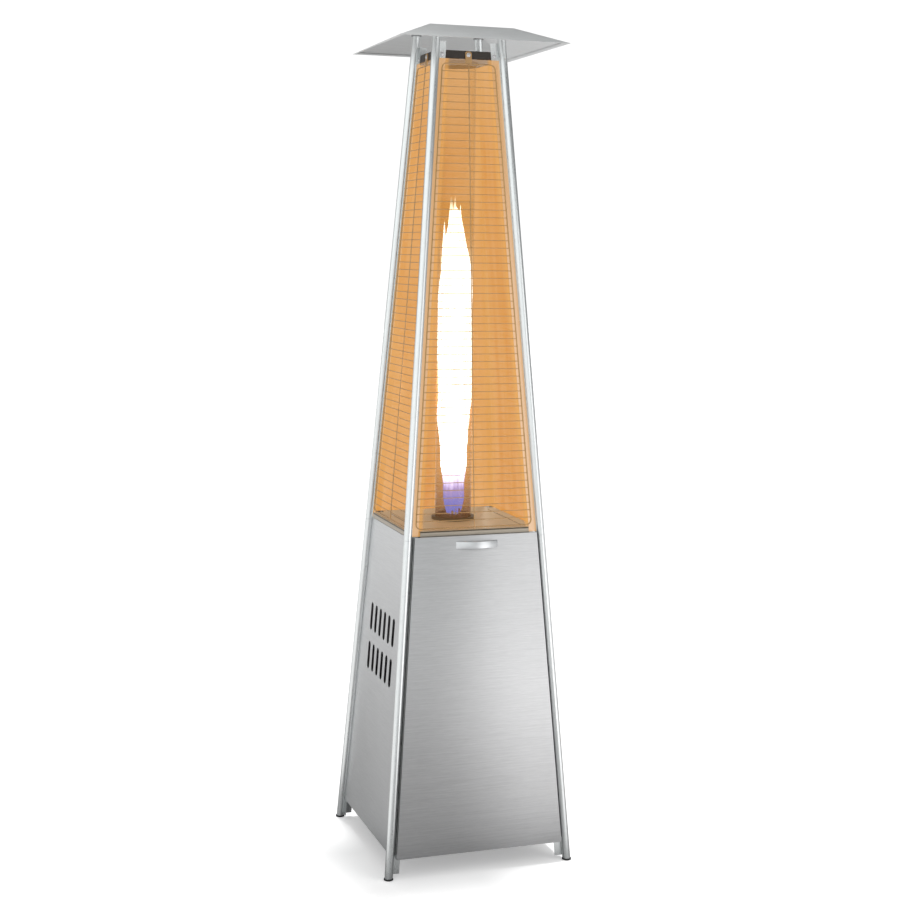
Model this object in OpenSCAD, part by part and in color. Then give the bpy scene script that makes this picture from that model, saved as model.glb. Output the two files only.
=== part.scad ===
// Pyramid gas patio heater: four leaning tube legs, a casing with a tilt-out door for the
// bottle and the controls, a burner tray, a glass flame tube inside wire guards, and a
// hipped sheet reflector on top.
// Origin at the middle of the floor between the feet, +Z up, front towards -Y, +X right.
// Every side face leans in by the same angle, so most parts are drawn flat on a face:
// s runs along the face, u runs up it, n stands out of it, with n = 0 through the leg axes.

/* [Overall] */
// Height of the reflector's flat top above the floor
total_h = 2270; // [2100:10:2400]
// Distance from the middle to a leg axis, along X and Y, at the floor
foot_half = 258; // [240:1:280]
// The same distance at the height of the top frame
top_half = 95; // [90:1:110]
// Height at which top_half is measured
top_ref_z = 2200; // [2050:10:2300]

/* [Legs] */
// Outer diameter of a leg tube
leg_d = 22; // [20:1:25]
// Wall thickness of a leg tube
leg_wall = 1.5; // [1:0.1:2]
// Reach of a leg's sheet fin from the leg axis
fin_w = 31; // [28:1:36]
// Thickness of a fin
fin_t = 1.5; // [1:0.1:2]
// Height of the joint between a lower and an upper leg
joint_z = 909; // [900:1:912]
// Length of the sleeve inside a leg joint
sleeve_len = 100; // [60:5:140]
// Radius of a rubber foot's pad
foot_r = 13; // [12:0.5:16]
// Thickness of a rubber foot's pad
foot_t = 5; // [3:1:8]

/* [Casing] */
// Height of the casing's lower edge
casing_bottom = 58; // [55:1:70]
// Height of the casing's upper edge
casing_top = 914; // [900:1:916]
// Thickness of the casing's sheet
sheet_t = 1.2; // [0.8:0.1:1.5]
// Number of vent slots in a row
slot_count = 6; // [4:1:7]
// Distance between neighbouring slots
slot_pitch = 43; // [30:1:46]
// Width of a slot
slot_w = 22; // [8:1:24]
// Length of a slot
slot_len = 79; // [50:1:90]
// Height of the middle of the lower row of slots
slot_low_z = 528; // [450:1:560]
// Height of the middle of the upper row of slots
slot_high_z = 640; // [610:1:700]

/* [Door] */
// How far the door's front stands out of the leg plane
door_face = 14; // [13:0.5:16]
// Distance from a leg axis to the door's side edge
door_gap = 16; // [16:0.5:20]
// Height of the door's lower edge
door_bottom = 55; // [52:1:57]
// Height of the door's hinge axis
hinge_z = 64; // [62:0.5:66]
// Radius of a hinge pin
hinge_pin_r = 3; // [2.5:0.5:3.5]
// Length of the door handle
handle_len = 118; // [100:1:140]
// Height of the handle's band
handle_h = 20; // [14:1:24]
// How far the handle bows out of the door
handle_bow = 20; // [18:1:26]
// Height of the handle's middle
handle_z = 892; // [850:1:895]

/* [Burner and flame tube] */
// Height of the burner tray's top
tray_z = 932; // [928:1:936]
// Outer radius of the glass flame tube
tube_r = 51; // [50:0.5:52]
// Wall thickness of the glass
tube_wall = 2.5; // [2:0.5:3]
// Height of the glass tube's top end
tube_top_z = 2190; // [2150:1:2195]
// Radius of the burner cup
burner_r = 43; // [38:1:44]

/* [Guards and top frame] */
// Thickness of a guard wire
wire_d = 3; // [2.5:0.1:4]
// Distance between the guard's cross wires
wire_pitch = 20.4; // [18:0.1:30]
// Height of a guard's lower edge
guard_low_z = 936; // [934:1:950]
// Height of a guard's upper edge
guard_top_z = 2175; // [2100:1:2178]
// Height of the top frame's lower edge
frame_low_z = 2188; // [2186:1:2190]
// Height of the top frame's strap
frame_h = 21; // [16:1:24]

/* [Reflector] */
// Half of the reflector's width at its rim
rim_half = 235; // [200:1:260]
// Half of the width of its flat top
flat_half = 117.5; // [110:0.5:125]
// Height of the rim
rim_z = 2223; // [2215:1:2235]

/* [Controls] */
// Height of the knob and the igniter button
control_z = 850; // [840:1:860]
// Distance of the control box's front wall from the middle
box_front = 152; // [148:1:156]
// Radius of the control knob
knob_r = 22; // [18:1:26]
// How far the igniter button stands to the right of the knob
igniter_x = 70; // [55:1:80]
// Radius of the gas inlet's outer thread
inlet_r = 7.94; // [7.9:0.01:8]
// Length of the gas inlet's outer thread
inlet_len = 15; // [12:1:18]

/* [Hidden] */
$fn = 48;
lean = atan((foot_half - top_half) / top_ref_z);
tilt = atan(sqrt(2) * (foot_half - top_half) / top_ref_z);
leg_r = leg_d / 2;
bore_r = leg_r - leg_wall;
fit = 0.1;                       // clearance round a push-in part
fin_root = 7;                    // a fin starts inside the tube's wall
fin_front = -6.5;                // front face of the fins, towards the outside
fin_back = fin_front - fin_t;
fin_start_z = 12;
fin_high_end_z = 2232;
joint_gap = 0.3;                 // half of the shadow line at a leg joint
fin_low_end_z = joint_z - joint_gap;
fin_high_start_z = joint_z + joint_gap;
leg_top_z = total_h - 8;
panel_gap = 11;                  // leg axis to the side of a panel
lip = 25;                        // height of the base plate's and depth of the panels' lips
screw_r = 2;
head_r = 4.5;
head_h = 2.5;
screw_e = 22;                    // leg axis to a line of screws
panel_screw_z = [95, 330, 700, 885];
joint_screw_step = 13;           // leg joint to a joint screw, along the leg
joint_screw_r = 1.5;
joint_screw_sink = 0.2;          // depth of a grub screw's end below the leg's surface
sleeve_wall = 2;
hinge_n = 5;
hinge_tab_r = 6;
hinge_tab_t = 3;
hinge_tab_e = door_gap + 2.2;    // leg axis to the hinge tab
hinge_notch = 36;                // gap in the door's bottom flange round a hinge
guard_e = 23;                    // leg axis to the guard's side wire
guard_corner = 14;
tab_half = 9;
tray_notch = 32;
tray_t = 1.5;
tray_lip_z = 917.6;              // lower edge of the lips, just over the door
tray_slot_x = 148;
rear_side = 2;
box_half = 110;
box_rear = 60;
box_low_z = 800;
box_flange = 12;
inner_front = -box_front + sheet_t;
valve_r = 14;
valve_end = -110;
valve_bore_r = 4.05;
inlet_y = -126;
pipe_r = 4;
pipe_bend = 20;
port_x = 10;
port_z = control_z + 4;
port_bend = 12;
pilot_y = -25;
jet_z = control_z + pipe_bend + 8;
cup_low_z = 905;
cup_top_z = 948;
grid_z = 944;
ring_h = 8;
ring_lip = 2;
tube_low_z = tray_z + ring_lip + fit;
push = 3;                        // travel of the knob
press = 4;                       // travel of the igniter button
knob_back = -box_front - push - 0.5;
magnet_z = 901;
door_top = casing_top + 3;
bow_r = (pow(handle_len / 2, 2) + pow(handle_bow, 2)) / (2 * handle_bow);
handle_t = 6;
handle_screw_s = [8 - handle_len / 2, handle_len / 2 - 8];
handle_screw_in = 2.8;           // depth of a screw in the handle's end
plunger_front = 6 - box_front;
plunger_len = 18;
valve_body_low = 36;             // knob axis down to the end of the inlet boss
inlet_top = control_z - valve_body_low;
inlet_hex_h = 10;
inlet_bore_r = 3;
grid_rings = [[6, 10], [12, 17], [30, 34]];  // holes in a ring, radius of the ring
grid_hole_r = 2;
port_hole_r = 3.4;               // holes for the pilot, electrode and thermocouple
probe_z = 895;                   // where the thin lines thicken into probes
lead_z = 892;
lead_r = 1.7;
frame_screw_z = frame_low_z + frame_h / 2;
frame_screw_s = [screw_e - half_on(up(frame_screw_z)), 0, half_on(up(frame_screw_z)) - screw_e];
bracket_half = half_at(leg_top_z);
bracket_screw_r = 2.5;
NAMES = ["fl", "fr", "bl", "br"];
SIGNS = [[-1, -1], [1, -1], [-1, 1], [1, 1]];

// ---- places on the leaning faces and legs

function half_at(z) = foot_half - (foot_half - top_half) / top_ref_z * z;
function up(z) = z / cos(lean);
function along(z) = z / cos(tilt);
function half_on(u) = foot_half - u * sin(lean);

// Puts flat work on a face: 0 front, 1 right, 2 rear, 3 left
module on_face(side) {
    rotate([0, 0, 90 * side]) translate([0, -foot_half, 0]) rotate([90 - lean, 0, 0])
        children();
}

// A flat shape on a face, from n0 out to n1
module slab(side, n0, n1) {
    on_face(side) translate([0, 0, n0]) linear_extrude(n1 - n0) children();
}

// A round bar standing out of a face at s, u, from n0 to n1
module peg(s, u, n0, n1, r) {
    translate([s, u, n0]) cylinder(r = r, h = n1 - n0);
}

// Work along a leg: local Z up the leg, local X towards the middle of the heater
module on_leg(corner) {
    translate([corner[0] * foot_half, corner[1] * foot_half, 0])
        rotate([0, tilt, atan2(-corner[1], -corner[0])]) children();
}

// An outline between two heights that keeps the same gap to both leg axes
function between_legs(z0, z1, gap) = let (u0 = up(z0), u1 = up(z1))
    [[gap - half_on(u0), u0], [half_on(u0) - gap, u0],
     [half_on(u1) - gap, u1], [gap - half_on(u1), u1]];

// Arc that rounds the corner at b between a and c
function unit(v) = v / norm(v);
function arc(a, b, c, r) = let (
        p = unit(a - b), q = unit(c - b),
        half_angle = acos(p * q) / 2,
        centre = b + unit(p + q) * r / sin(half_angle),
        from = b + p * r / tan(half_angle), to = b + q * r / tan(half_angle),
        a0 = atan2(from[1] - centre[1], from[0] - centre[0]),
        a1 = atan2(to[1] - centre[1], to[0] - centre[0]),
        turn = a1 - a0 > 180 ? a1 - a0 - 360 : a1 - a0 < -180 ? a1 - a0 + 360 : a1 - a0)
    [for (i = [0:6]) centre + r * [cos(a0 + turn * i / 6), sin(a0 + turn * i / 6)]];
function rounded(p, r) = [for (i = [0:len(p) - 1])
    each arc(p[(i + len(p) - 1) % len(p)], p[i], p[(i + 1) % len(p)], r)];

// ---- legs and feet

// The two sides of a face that meet at a leg, each with the leg's sign along s
function faces_of(corner) = [
    corner[1] < 0 ? [0, corner[0]] : [2, -corner[0]],
    corner[0] > 0 ? [1, corner[1]] : [3, -corner[1]]];

module fins(corner, z0, z1) {
    for (f = faces_of(corner)) slab(f[0], fin_back, fin_front) polygon([
        for (p = [[fin_root, z0], [fin_w, z0], [fin_w, z1], [fin_root, z1]])
            [f[1] * (half_on(up(p[1])) - p[0]), up(p[1])]]);
}

// Holes or grub screws on both sides of a leg joint, on the side that faces the middle
module joint_holes(r, from_x, to_x) {
    for (step = [-joint_screw_step, joint_screw_step])
        translate([from_x, 0, along(joint_z) + step]) rotate([0, 90, 0])
            cylinder(r = r, h = to_x - from_x);
}

module leg(corner, z0, z1, fin_z0, fin_z1) {
    difference() {
        union() {
            on_leg(corner) translate([0, 0, along(z0)])
                cylinder(r = leg_r, h = along(z1 - z0));
            fins(corner, fin_z0, fin_z1);
        }
        on_leg(corner) {
            translate([0, 0, along(z0) - 20]) cylinder(r = bore_r, h = along(z1 - z0) + 40);
            joint_holes(joint_screw_r + fit, 0, leg_r + 1);
        }
        for (f = faces_of(corner)) on_face(f[0])
            for (z = concat(f[0] == 0 ? [] : panel_screw_z, [frame_screw_z]))
                peg(f[1] * (half_on(up(z)) - screw_e), up(z), fin_back - 1, fin_front + 1,
                    screw_r + fit);
    }
}

module lower_leg(corner) {
    color("silver") difference() {
        leg(corner, -10, joint_z - joint_gap, fin_start_z, fin_low_end_z);
        translate([corner[0] * foot_half - 40, corner[1] * foot_half - 40, -60])
            cube([80, 80, 60 + foot_t]);
    }
}

module upper_leg(corner) {
    color("silver") difference() {
        leg(corner, joint_z + joint_gap, leg_top_z + 20, fin_high_start_z, fin_high_end_z);
        translate([corner[0] * top_half - 50, corner[1] * top_half - 50, leg_top_z])
            cube([100, 100, 60]);
    }
}

module joint_sleeve(corner) {
    color("dimgray") on_leg(corner) difference() {
        translate([0, 0, along(joint_z) - sleeve_len / 2])
            cylinder(r = bore_r - fit, h = sleeve_len);
        translate([0, 0, along(joint_z) - sleeve_len / 2 - 1])
            cylinder(r = bore_r - fit - sleeve_wall, h = sleeve_len + 2);
        joint_holes(joint_screw_r + fit, 0, leg_r);
    }
}

module leg_joint_screws() {
    color("lightgray") for (corner = SIGNS) on_leg(corner)
        joint_holes(joint_screw_r, bore_r - fit - 2 * sleeve_wall, leg_r - joint_screw_sink);
}

module foot(corner) {
    color([0.12, 0.12, 0.12]) {
        translate([corner[0] * foot_half, corner[1] * foot_half, 0])
            cylinder(r = foot_r, h = foot_t);
        difference() {
            on_leg(corner) cylinder(r = bore_r - fit, h = 35);
            translate([corner[0] * foot_half - 20, corner[1] * foot_half - 20, -20])
                cube([40, 40, 20 + foot_t - 1]);
        }
    }
}

// ---- casing

module base_plate() {
    plate_half = half_at(casing_bottom) + fin_back - 1.5;
    color("gainsboro") {
        translate([-plate_half, -plate_half, casing_bottom])
            cube([2 * plate_half, 2 * plate_half, sheet_t + 0.3]);
        for (side = [0:3]) slab(side, fin_back - 1.5, fin_back)
            polygon(between_legs(casing_bottom, casing_bottom + lip, 12));
    }
}

module slot(s, z) {
    straight = (slot_len - slot_w) / 2;
    translate([s, up(z)]) {
        square([slot_w, 2 * straight], center = true);
        for (end = [-straight, straight]) translate([0, end]) circle(d = slot_w);
    }
}

// A casing sheet: the two side ones have vent slots, the rear one is plain
module casing_panel(side) {
    vent_rows = side == rear_side ? [] : [slot_low_z, slot_high_z];
    color([0.74, 0.75, 0.76]) difference() {
        union() {
            slab(side, fin_front, fin_front + sheet_t)
                polygon(between_legs(casing_bottom, casing_top, panel_gap));
            slab(side, fin_front - lip / 2, fin_front + sheet_t)
                polygon(between_legs(casing_top - sheet_t, casing_top, fin_w + 3));
        }
        for (i = [0:slot_count - 1], z = vent_rows)
            slab(side, fin_front - 1, fin_front + sheet_t + 1)
                slot((i - (slot_count - 1) / 2) * slot_pitch, z);
        on_face(side) for (z = panel_screw_z, sign = [-1, 1])
            peg(sign * (half_on(up(z)) - screw_e), up(z), fin_front - 1,
                fin_front + sheet_t / 2, screw_r + fit);
    }
}

// Screws driven from inside the casing, through the fins, into the panels
module panel_screws() {
    color("lightgray") for (side = [1:3], z = panel_screw_z, sign = [-1, 1]) on_face(side) {
        s = sign * (half_on(up(z)) - screw_e);
        peg(s, up(z), fin_back, fin_front + sheet_t / 2, screw_r);
        peg(s, up(z), fin_back - head_h, fin_back, head_r);
    }
}

// ---- door, hinge and catch

module front_door() {
    color([0.72, 0.73, 0.74]) difference() {
        slab(0, 0, door_face) polygon(between_legs(door_bottom, door_top, door_gap));
        slab(0, -1, door_face - sheet_t)
            polygon(between_legs(door_bottom + sheet_t, door_top - sheet_t,
                door_gap + sheet_t));
        for (sign = [-1, 1]) slab(0, -1, door_face - sheet_t)
            translate([sign * (half_at(door_bottom) - door_gap - sheet_t - hinge_notch / 2),
                    up(door_bottom)])
                square([hinge_notch, 12], center = true);
        on_face(0) {
            translate([0, up(hinge_z), hinge_n]) rotate([0, 90, 0])
                cylinder(r = hinge_pin_r + 0.05, h = 2 * foot_half, center = true);
            for (s = handle_screw_s) peg(s, up(handle_z), 0, door_face + 1, screw_r + fit);
        }
    }
}

module door_handle() {
    sweep = 2 * asin(handle_len / 2 / bow_r) + 12;
    color("whitesmoke") on_face(0) difference() {
        translate([0, up(handle_z) + handle_h / 2, door_face + handle_bow - bow_r])
            rotate([90, 0, 0]) rotate([0, 0, 90 - sweep / 2])
                rotate_extrude(angle = sweep, $fn = 96)
                    translate([bow_r - handle_t, 0]) square([handle_t, handle_h]);
        translate([-handle_len, up(handle_z) - handle_h, door_face - 60])
            cube([2 * handle_len, 2 * handle_h, 60]);
        for (s = handle_screw_s)
            peg(s, up(handle_z), door_face - 1, door_face + handle_screw_in + 0.2, screw_r);
    }
}

module handle_screws() {
    color("lightgray") on_face(0) for (s = handle_screw_s) {
        peg(s, up(handle_z), door_face - sheet_t, door_face + handle_screw_in, screw_r - 0.05);
        peg(s, up(handle_z), door_face - sheet_t - head_h, door_face - sheet_t, head_r);
    }
}

// A folded bracket: a foot on the fin's front and a tab round the hinge axis
module hinge_bracket(sign) {
    tab_s = half_at(hinge_z) - hinge_tab_e - hinge_tab_t;
    foot_w = fin_w - hinge_tab_e;
    color("gray") on_face(0) scale([sign, 1, 1]) difference() {
        union() {
            translate([tab_s, up(hinge_z), hinge_n]) rotate([0, 90, 0])
                cylinder(r = hinge_tab_r, h = hinge_tab_t);
            translate([tab_s, up(hinge_z) - 4, fin_front])
                cube([hinge_tab_t, 8, hinge_n - fin_front]);
            translate([tab_s + hinge_tab_t - foot_w, up(hinge_z) - 4, fin_front])
                cube([foot_w, 34, 1.5]);
        }
        translate([tab_s - 1, up(hinge_z), hinge_n]) rotate([0, 90, 0])
            cylinder(r = hinge_pin_r + 0.02, h = hinge_tab_t + 2);
    }
}

// Riveted pin: the head is outside the door's side flange
module hinge_pin(sign) {
    flange_s = half_at(hinge_z) - door_gap;
    color("silver") on_face(0) scale([sign, 1, 1]) translate([0, up(hinge_z), hinge_n])
        rotate([0, 90, 0]) {
            translate([0, 0, flange_s + 0.4]) cylinder(r = 5, h = 2);
            translate([0, 0, flange_s - 9]) cylinder(r = hinge_pin_r, h = 9.6);
        }
}

module door_magnet() {
    color([0.15, 0.15, 0.16]) {
        slab(0, -10, 0.6) translate([-18, up(magnet_z) - 8]) square([36, 16]);
        slab(0, -11.5, -10) translate([-18, up(magnet_z) - 8])
            square([36, up(tray_z - tray_t) - up(magnet_z) + 8]);
    }
}

module magnet_strike() {
    flange_u = up(door_top - sheet_t);
    color("lightgray") {
        slab(0, 1.2, 2.7) translate([-15, flange_u - 20]) square([30, 20]);
        slab(0, 1.2, 11) translate([-15, flange_u - 1.5]) square([30, 1.5]);
    }
}

// ---- tray, control box and gas train

module burner_tray() {
    edge = half_at(tray_z) - 0.9;
    color([0.80, 0.80, 0.79]) difference() {
        union() {
            for (w = [[edge, edge - tray_notch], [edge - tray_notch, edge]])
                translate([-w[0], -w[1], tray_z - tray_t])
                    cube([2 * w[0], 2 * w[1], tray_t]);
            for (side = [0:3]) slab(side, -1.5, -0.3)
                polygon(between_legs(tray_lip_z, tray_z - 0.2, tray_notch + 2));
        }
        translate([0, 0, tray_z - tray_t - 1]) cylinder(r = burner_r + 3, h = 4);
        for (sign = [-1, 1]) translate([sign * tray_slot_x - 1.5, -152, tray_z - 5])
            cube([3, 275, 10]);
    }
}

module control_box() {
    low = box_low_z;
    high = tray_z - tray_t;
    color([0.62, 0.63, 0.64]) difference() {
        union() {
            translate([-box_half, -box_front, low])
                cube([2 * box_half, box_front + box_rear, high - low]);
            translate([-box_half - box_flange, -box_front - box_flange, high - sheet_t])
                cube([2 * (box_half + box_flange), box_front + box_rear + 2 * box_flange,
                    sheet_t]);
        }
        translate([-box_half + sheet_t, inner_front, low - 1])
            cube([2 * (box_half - sheet_t), box_front + box_rear - 2 * sheet_t,
                high - low + 2]);
        translate([0, -box_front + 5, control_z]) rotate([90, 0, 0])
            cylinder(r = 5, h = 10);
        translate([igniter_x, -box_front + 5, control_z]) rotate([90, 0, 0])
            cylinder(r = 9.2, h = 10);
        translate([-20, -box_front - box_flange - 1, high - sheet_t - 1])
            cube([40, box_flange + 1, 4]);
    }
}

// A bar along +Y from y0 to y1 at x, z
module rod_y(x, z, y0, y1, r) {
    translate([x, y0, z]) rotate([-90, 0, 0]) cylinder(r = r, h = y1 - y0);
}

module gas_valve() {
    color([0.75, 0.62, 0.32]) difference() {
        union() {
            rod_y(0, control_z, inner_front, valve_end, valve_r);
            rod_y(0, control_z, valve_end, valve_end + 10, pipe_r + 2.5);
            translate([0, inlet_y, inlet_top]) cylinder(r = 9, h = valve_body_low);
        }
        rod_y(0, control_z, inner_front - 1, inner_front + 26, valve_bore_r);
        translate([0, inlet_y, inlet_top - 1]) cylinder(r = inlet_bore_r, h = 20);
        rod_y(0, control_z, valve_end - 8, valve_end + 11, pipe_r + 0.05);
    }
}

module valve_plunger() {
    color("goldenrod")
        rod_y(0, control_z, plunger_front, plunger_front + plunger_len, valve_bore_r - 0.05);
}

module control_knob() {
    color([0.10, 0.10, 0.10]) difference() {
        union() {
            rod_y(0, control_z, knob_back - 4, knob_back, knob_r);
            rod_y(0, control_z, knob_back - 10, knob_back - 4, knob_r - 3);
            translate([-4, knob_back - 22, control_z - knob_r + 3])
                cube([8, 14, 2 * knob_r - 6]);
            rod_y(0, control_z, knob_back, plunger_front, 3);
        }
        translate([-1, knob_back - 23, control_z + knob_r - 12]) cube([2, 2, 8]);
    }
}

module igniter_housing() {
    front = -box_front;
    color([0.14, 0.14, 0.15]) difference() {
        union() {
            rod_y(igniter_x, control_z, front - 3, front, 13);
            rod_y(igniter_x, control_z, front, -96, 9);
        }
        rod_y(igniter_x, control_z, front - 4, front + 18, 6.6);
        rod_y(igniter_x, control_z, -102, -95, 1.8);
    }
}

module igniter_button() {
    front = -box_front - 8;
    color([0.65, 0.08, 0.06]) union() {
        rod_y(igniter_x, control_z, front, front + 20, 6.5);
        rod_y(igniter_x, control_z, front - 1, front, 5.5);
    }
}

module gas_inlet() {
    color([0.78, 0.65, 0.35]) translate([0, inlet_y, 0]) difference() {
        union() {
            translate([0, 0, inlet_top - inlet_hex_h]) cylinder(r = 11, h = inlet_hex_h, $fn = 6);
            translate([0, 0, inlet_top - inlet_hex_h - inlet_len])
                cylinder(r = inlet_r, h = inlet_len);
        }
        translate([0, 0, inlet_top - 40]) cylinder(r = inlet_bore_r, h = 50);
    }
}

// A quarter bend of round tube from +Y up to +Z, starting at x, y, z
module bend_up(x, y, z, bend, r) {
    translate([x, y, z + bend]) rotate([90, 0, 90]) rotate([0, 0, -90])
        rotate_extrude(angle = 90) translate([bend, 0]) circle(r = r);
}

module supply_pipe() {
    color([0.80, 0.80, 0.82]) {
        rod_y(0, control_z, valve_end - 8, -pipe_bend, pipe_r);
        bend_up(0, -pipe_bend, control_z, pipe_bend, pipe_r);
        translate([0, 0, control_z + pipe_bend]) cylinder(r = pipe_r, h = 8);
    }
}

module burner_jet() {
    color([0.76, 0.63, 0.34]) translate([0, 0, jet_z]) difference() {
        union() {
            cylinder(r = 8, h = 8, $fn = 6);
            cylinder(r = 5, h = 16);
        }
        translate([0, 0, -1]) cylinder(r = 1, h = 20);
    }
}

module burner_cup() {
    color([0.35, 0.35, 0.36]) difference() {
        union() {
            translate([0, 0, cup_low_z]) cylinder(r = burner_r, h = cup_top_z - cup_low_z);
            translate([0, 0, tray_z - tray_t - 1.5]) cylinder(r = burner_r + 9, h = 1.5);
            translate([0, 0, jet_z + 9]) cylinder(r = 14, h = cup_low_z - jet_z - 8);
        }
        translate([0, 0, cup_low_z + 1.5])
            cylinder(r = burner_r - 1.5, h = cup_top_z - cup_low_z);
        translate([0, 0, jet_z]) cylinder(r = 12.5, h = cup_low_z - jet_z + 5);
        for (x = [-port_x, 0, port_x]) translate([x, pilot_y, cup_low_z - 1])
            cylinder(r = port_hole_r, h = 4);
    }
}

module flame_grid() {
    color([0.45, 0.42, 0.40]) difference() {
        translate([0, 0, grid_z]) cylinder(r = burner_r - 1.6, h = 1.5);
        for (ring = grid_rings, i = [0:ring[0] - 1])
            rotate([0, 0, 360 / ring[0] * (i + 0.5)]) translate([ring[1], 0, grid_z - 1])
                cylinder(r = grid_hole_r, h = 4, $fn = 16);
        for (x = [-port_x, 0, port_x]) translate([x, pilot_y, grid_z - 1])
            cylinder(r = port_hole_r, h = 4);
    }
}

// A thin line from a port in the valve's end, back and up to the burner cup
module port_line(x, r, top) {
    rod_y(x, port_z, valve_end, pilot_y - port_bend, r);
    bend_up(x, pilot_y - port_bend, port_z, port_bend, r);
    translate([x, pilot_y, port_z + port_bend]) cylinder(r = r, h = top - port_z - port_bend);
}

module pilot_burner() {
    color([0.70, 0.60, 0.40]) {
        port_line(-port_x, 1.5, probe_z);
        translate([-port_x, pilot_y, probe_z]) cylinder(r = 3, h = 62);
    }
}

module thermocouple() {
    color([0.72, 0.45, 0.30]) {
        port_line(port_x, 1.2, probe_z);
        translate([port_x, pilot_y, probe_z]) cylinder(r = 2.4, h = 68);
    }
}

module spark_electrode() {
    color("white") translate([0, pilot_y, lead_z]) cylinder(r = 3, h = 58);
    color("silver") translate([0, pilot_y, lead_z + 58]) cylinder(r = 1, h = 14);
}

// Insulated lead from the igniter's end to the foot of the electrode
module ignition_lead() {
    turn = 20;
    color([0.12, 0.12, 0.12]) {
        rod_y(igniter_x, control_z, -102, pilot_y - turn, lead_r);
        translate([igniter_x - turn, pilot_y - turn, control_z])
            rotate_extrude(angle = 90) translate([turn, 0]) circle(r = lead_r);
        translate([turn, pilot_y, control_z]) rotate([0, 90, 0])
            cylinder(r = lead_r, h = igniter_x - 2 * turn);
        translate([turn, pilot_y, control_z + turn]) rotate([90, 0, 0])
            rotate([0, 0, 180]) rotate_extrude(angle = 90) translate([turn, 0])
                circle(r = lead_r);
        translate([0, pilot_y, control_z + turn])
            cylinder(r = lead_r, h = lead_z - control_z - turn);
    }
}

// Safety switch that shuts the gas off when the heater is tipped
module tilt_switch() {
    color([0.20, 0.20, 0.22]) translate([-box_half + sheet_t, -60, control_z - 20]) {
        cube([18, 30, 40]);
        translate([9, 15, 40]) cylinder(r = 5, h = 8);
    }
}

// ---- flame tube

module ring_shape(r_out, r_in, z, h) {
    translate([0, 0, z]) difference() {
        cylinder(r = r_out, h = h, $fn = 96);
        translate([0, 0, -1]) cylinder(r = r_in, h = h + 2, $fn = 96);
    }
}

module lower_tube_ring() {
    color([0.10, 0.10, 0.10]) {
        ring_shape(tube_r + 9.5, tube_r + 0.3, tray_z, ring_h);
        ring_shape(tube_r + 1, tube_r - 4, tray_z, ring_lip);
    }
}

module glass_tube() {
    color([0.8, 0.9, 0.95, 0.35])
        ring_shape(tube_r, tube_r - tube_wall, tube_low_z, tube_top_z - tube_low_z);
}

module top_tube_plate() {
    plate_z = frame_low_z - 3.5;
    plate_half = half_at(plate_z) + fin_back - 1.8;
    color([0.55, 0.55, 0.55]) difference() {
        union() {
            translate([-plate_half, -plate_half, plate_z])
                cube([2 * plate_half, 2 * plate_half, 1.5]);
            translate([0, 0, plate_z - 9]) cylinder(r = tube_r + 3.5, h = 10, $fn = 96);
            for (side = [0:3]) slab(side, fin_back - 2.8, fin_back - 1.6)
                for (s = [-24, 8]) translate([s, up(plate_z)]) square([16, 20]);
        }
        translate([0, 0, plate_z - 20]) cylinder(r = tube_r + 0.4, h = 40, $fn = 96);
    }
}

// ---- guards and top frame

module wire_guard(side) {
    rows = floor((guard_top_z - guard_low_z) / wire_pitch);
    step = (guard_top_z - guard_low_z - wire_d) / rows;
    outer = between_legs(guard_low_z, guard_top_z, guard_e - wire_d / 2);
    inner = between_legs(guard_low_z + wire_d, guard_top_z - wire_d, guard_e + wire_d / 2);
    color([0.62, 0.60, 0.56]) union() {
        slab(side, fin_front, fin_front + wire_d) difference() {
            polygon(rounded(outer, guard_corner));
            intersection() {
                polygon(rounded(inner, guard_corner - wire_d));
                for (i = [0:rows - 1], sign = [-1, 1])
                    translate([sign * (foot_half + wire_d / 2),
                            up(guard_low_z + i * step) + (step + wire_d) / 2])
                        square([2 * foot_half, step - wire_d], center = true);
            }
        }
        difference() {
            slab(side, fin_back, fin_front + 1)
                translate([-tab_half, up(guard_top_z) - wire_d])
                    square([2 * tab_half, up(frame_screw_z) - up(guard_top_z) + 10]);
            on_face(side) peg(0, up(frame_screw_z), fin_back - 1, fin_front + 2, screw_r + fit);
        }
    }
}

module top_frame() {
    color([0.30, 0.29, 0.28]) difference() {
        for (side = [0:3]) slab(side, fin_back - 1.5, fin_back)
            polygon(between_legs(frame_low_z, frame_low_z + frame_h, 9));
        for (side = [0:3]) on_face(side) for (s = frame_screw_s)
            peg(s, up(frame_screw_z), fin_back - 3, fin_back + 1, screw_r + fit);
    }
}

module frame_screws() {
    color("lightgray") for (side = [0:3]) on_face(side) for (s = frame_screw_s) {
        front = s == 0 ? fin_front + 1 : fin_front;
        peg(s, up(frame_screw_z), fin_back - 4, front, screw_r);
        peg(s, up(frame_screw_z), front, front + head_h, head_r);
        peg(s, up(frame_screw_z), fin_back - 4, fin_back - 1.5, head_r - 0.5);
    }
}

// ---- reflector

module hip_roof(rim, flat, z0, z1) {
    corners = [[-1, -1], [1, -1], [1, 1], [-1, 1]];
    polyhedron(
        points = [for (ring = [[rim, z0], [flat, z1]], c = corners)
            [c[0] * ring[0], c[1] * ring[0], ring[1]]],
        faces = [[0, 1, 2, 3], [7, 6, 5, 4], [0, 4, 5, 1], [1, 5, 6, 2], [2, 6, 7, 3],
            [3, 7, 4, 0]]);
}

module reflector_hood() {
    slope = (rim_half - flat_half) / (total_h - rim_z);
    across = sheet_t * sqrt(1 + slope * slope);
    color([0.70, 0.71, 0.71]) difference() {
        hip_roof(rim_half, flat_half, rim_z, total_h);
        hip_roof(rim_half + slope - across, flat_half + slope * sheet_t - across,
            rim_z - 1, total_h - sheet_t);
        for (corner = SIGNS)
            translate([corner[0] * bracket_half, corner[1] * bracket_half, total_h - 5])
                cylinder(r = bracket_screw_r + fit, h = 10);
    }
}

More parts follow.
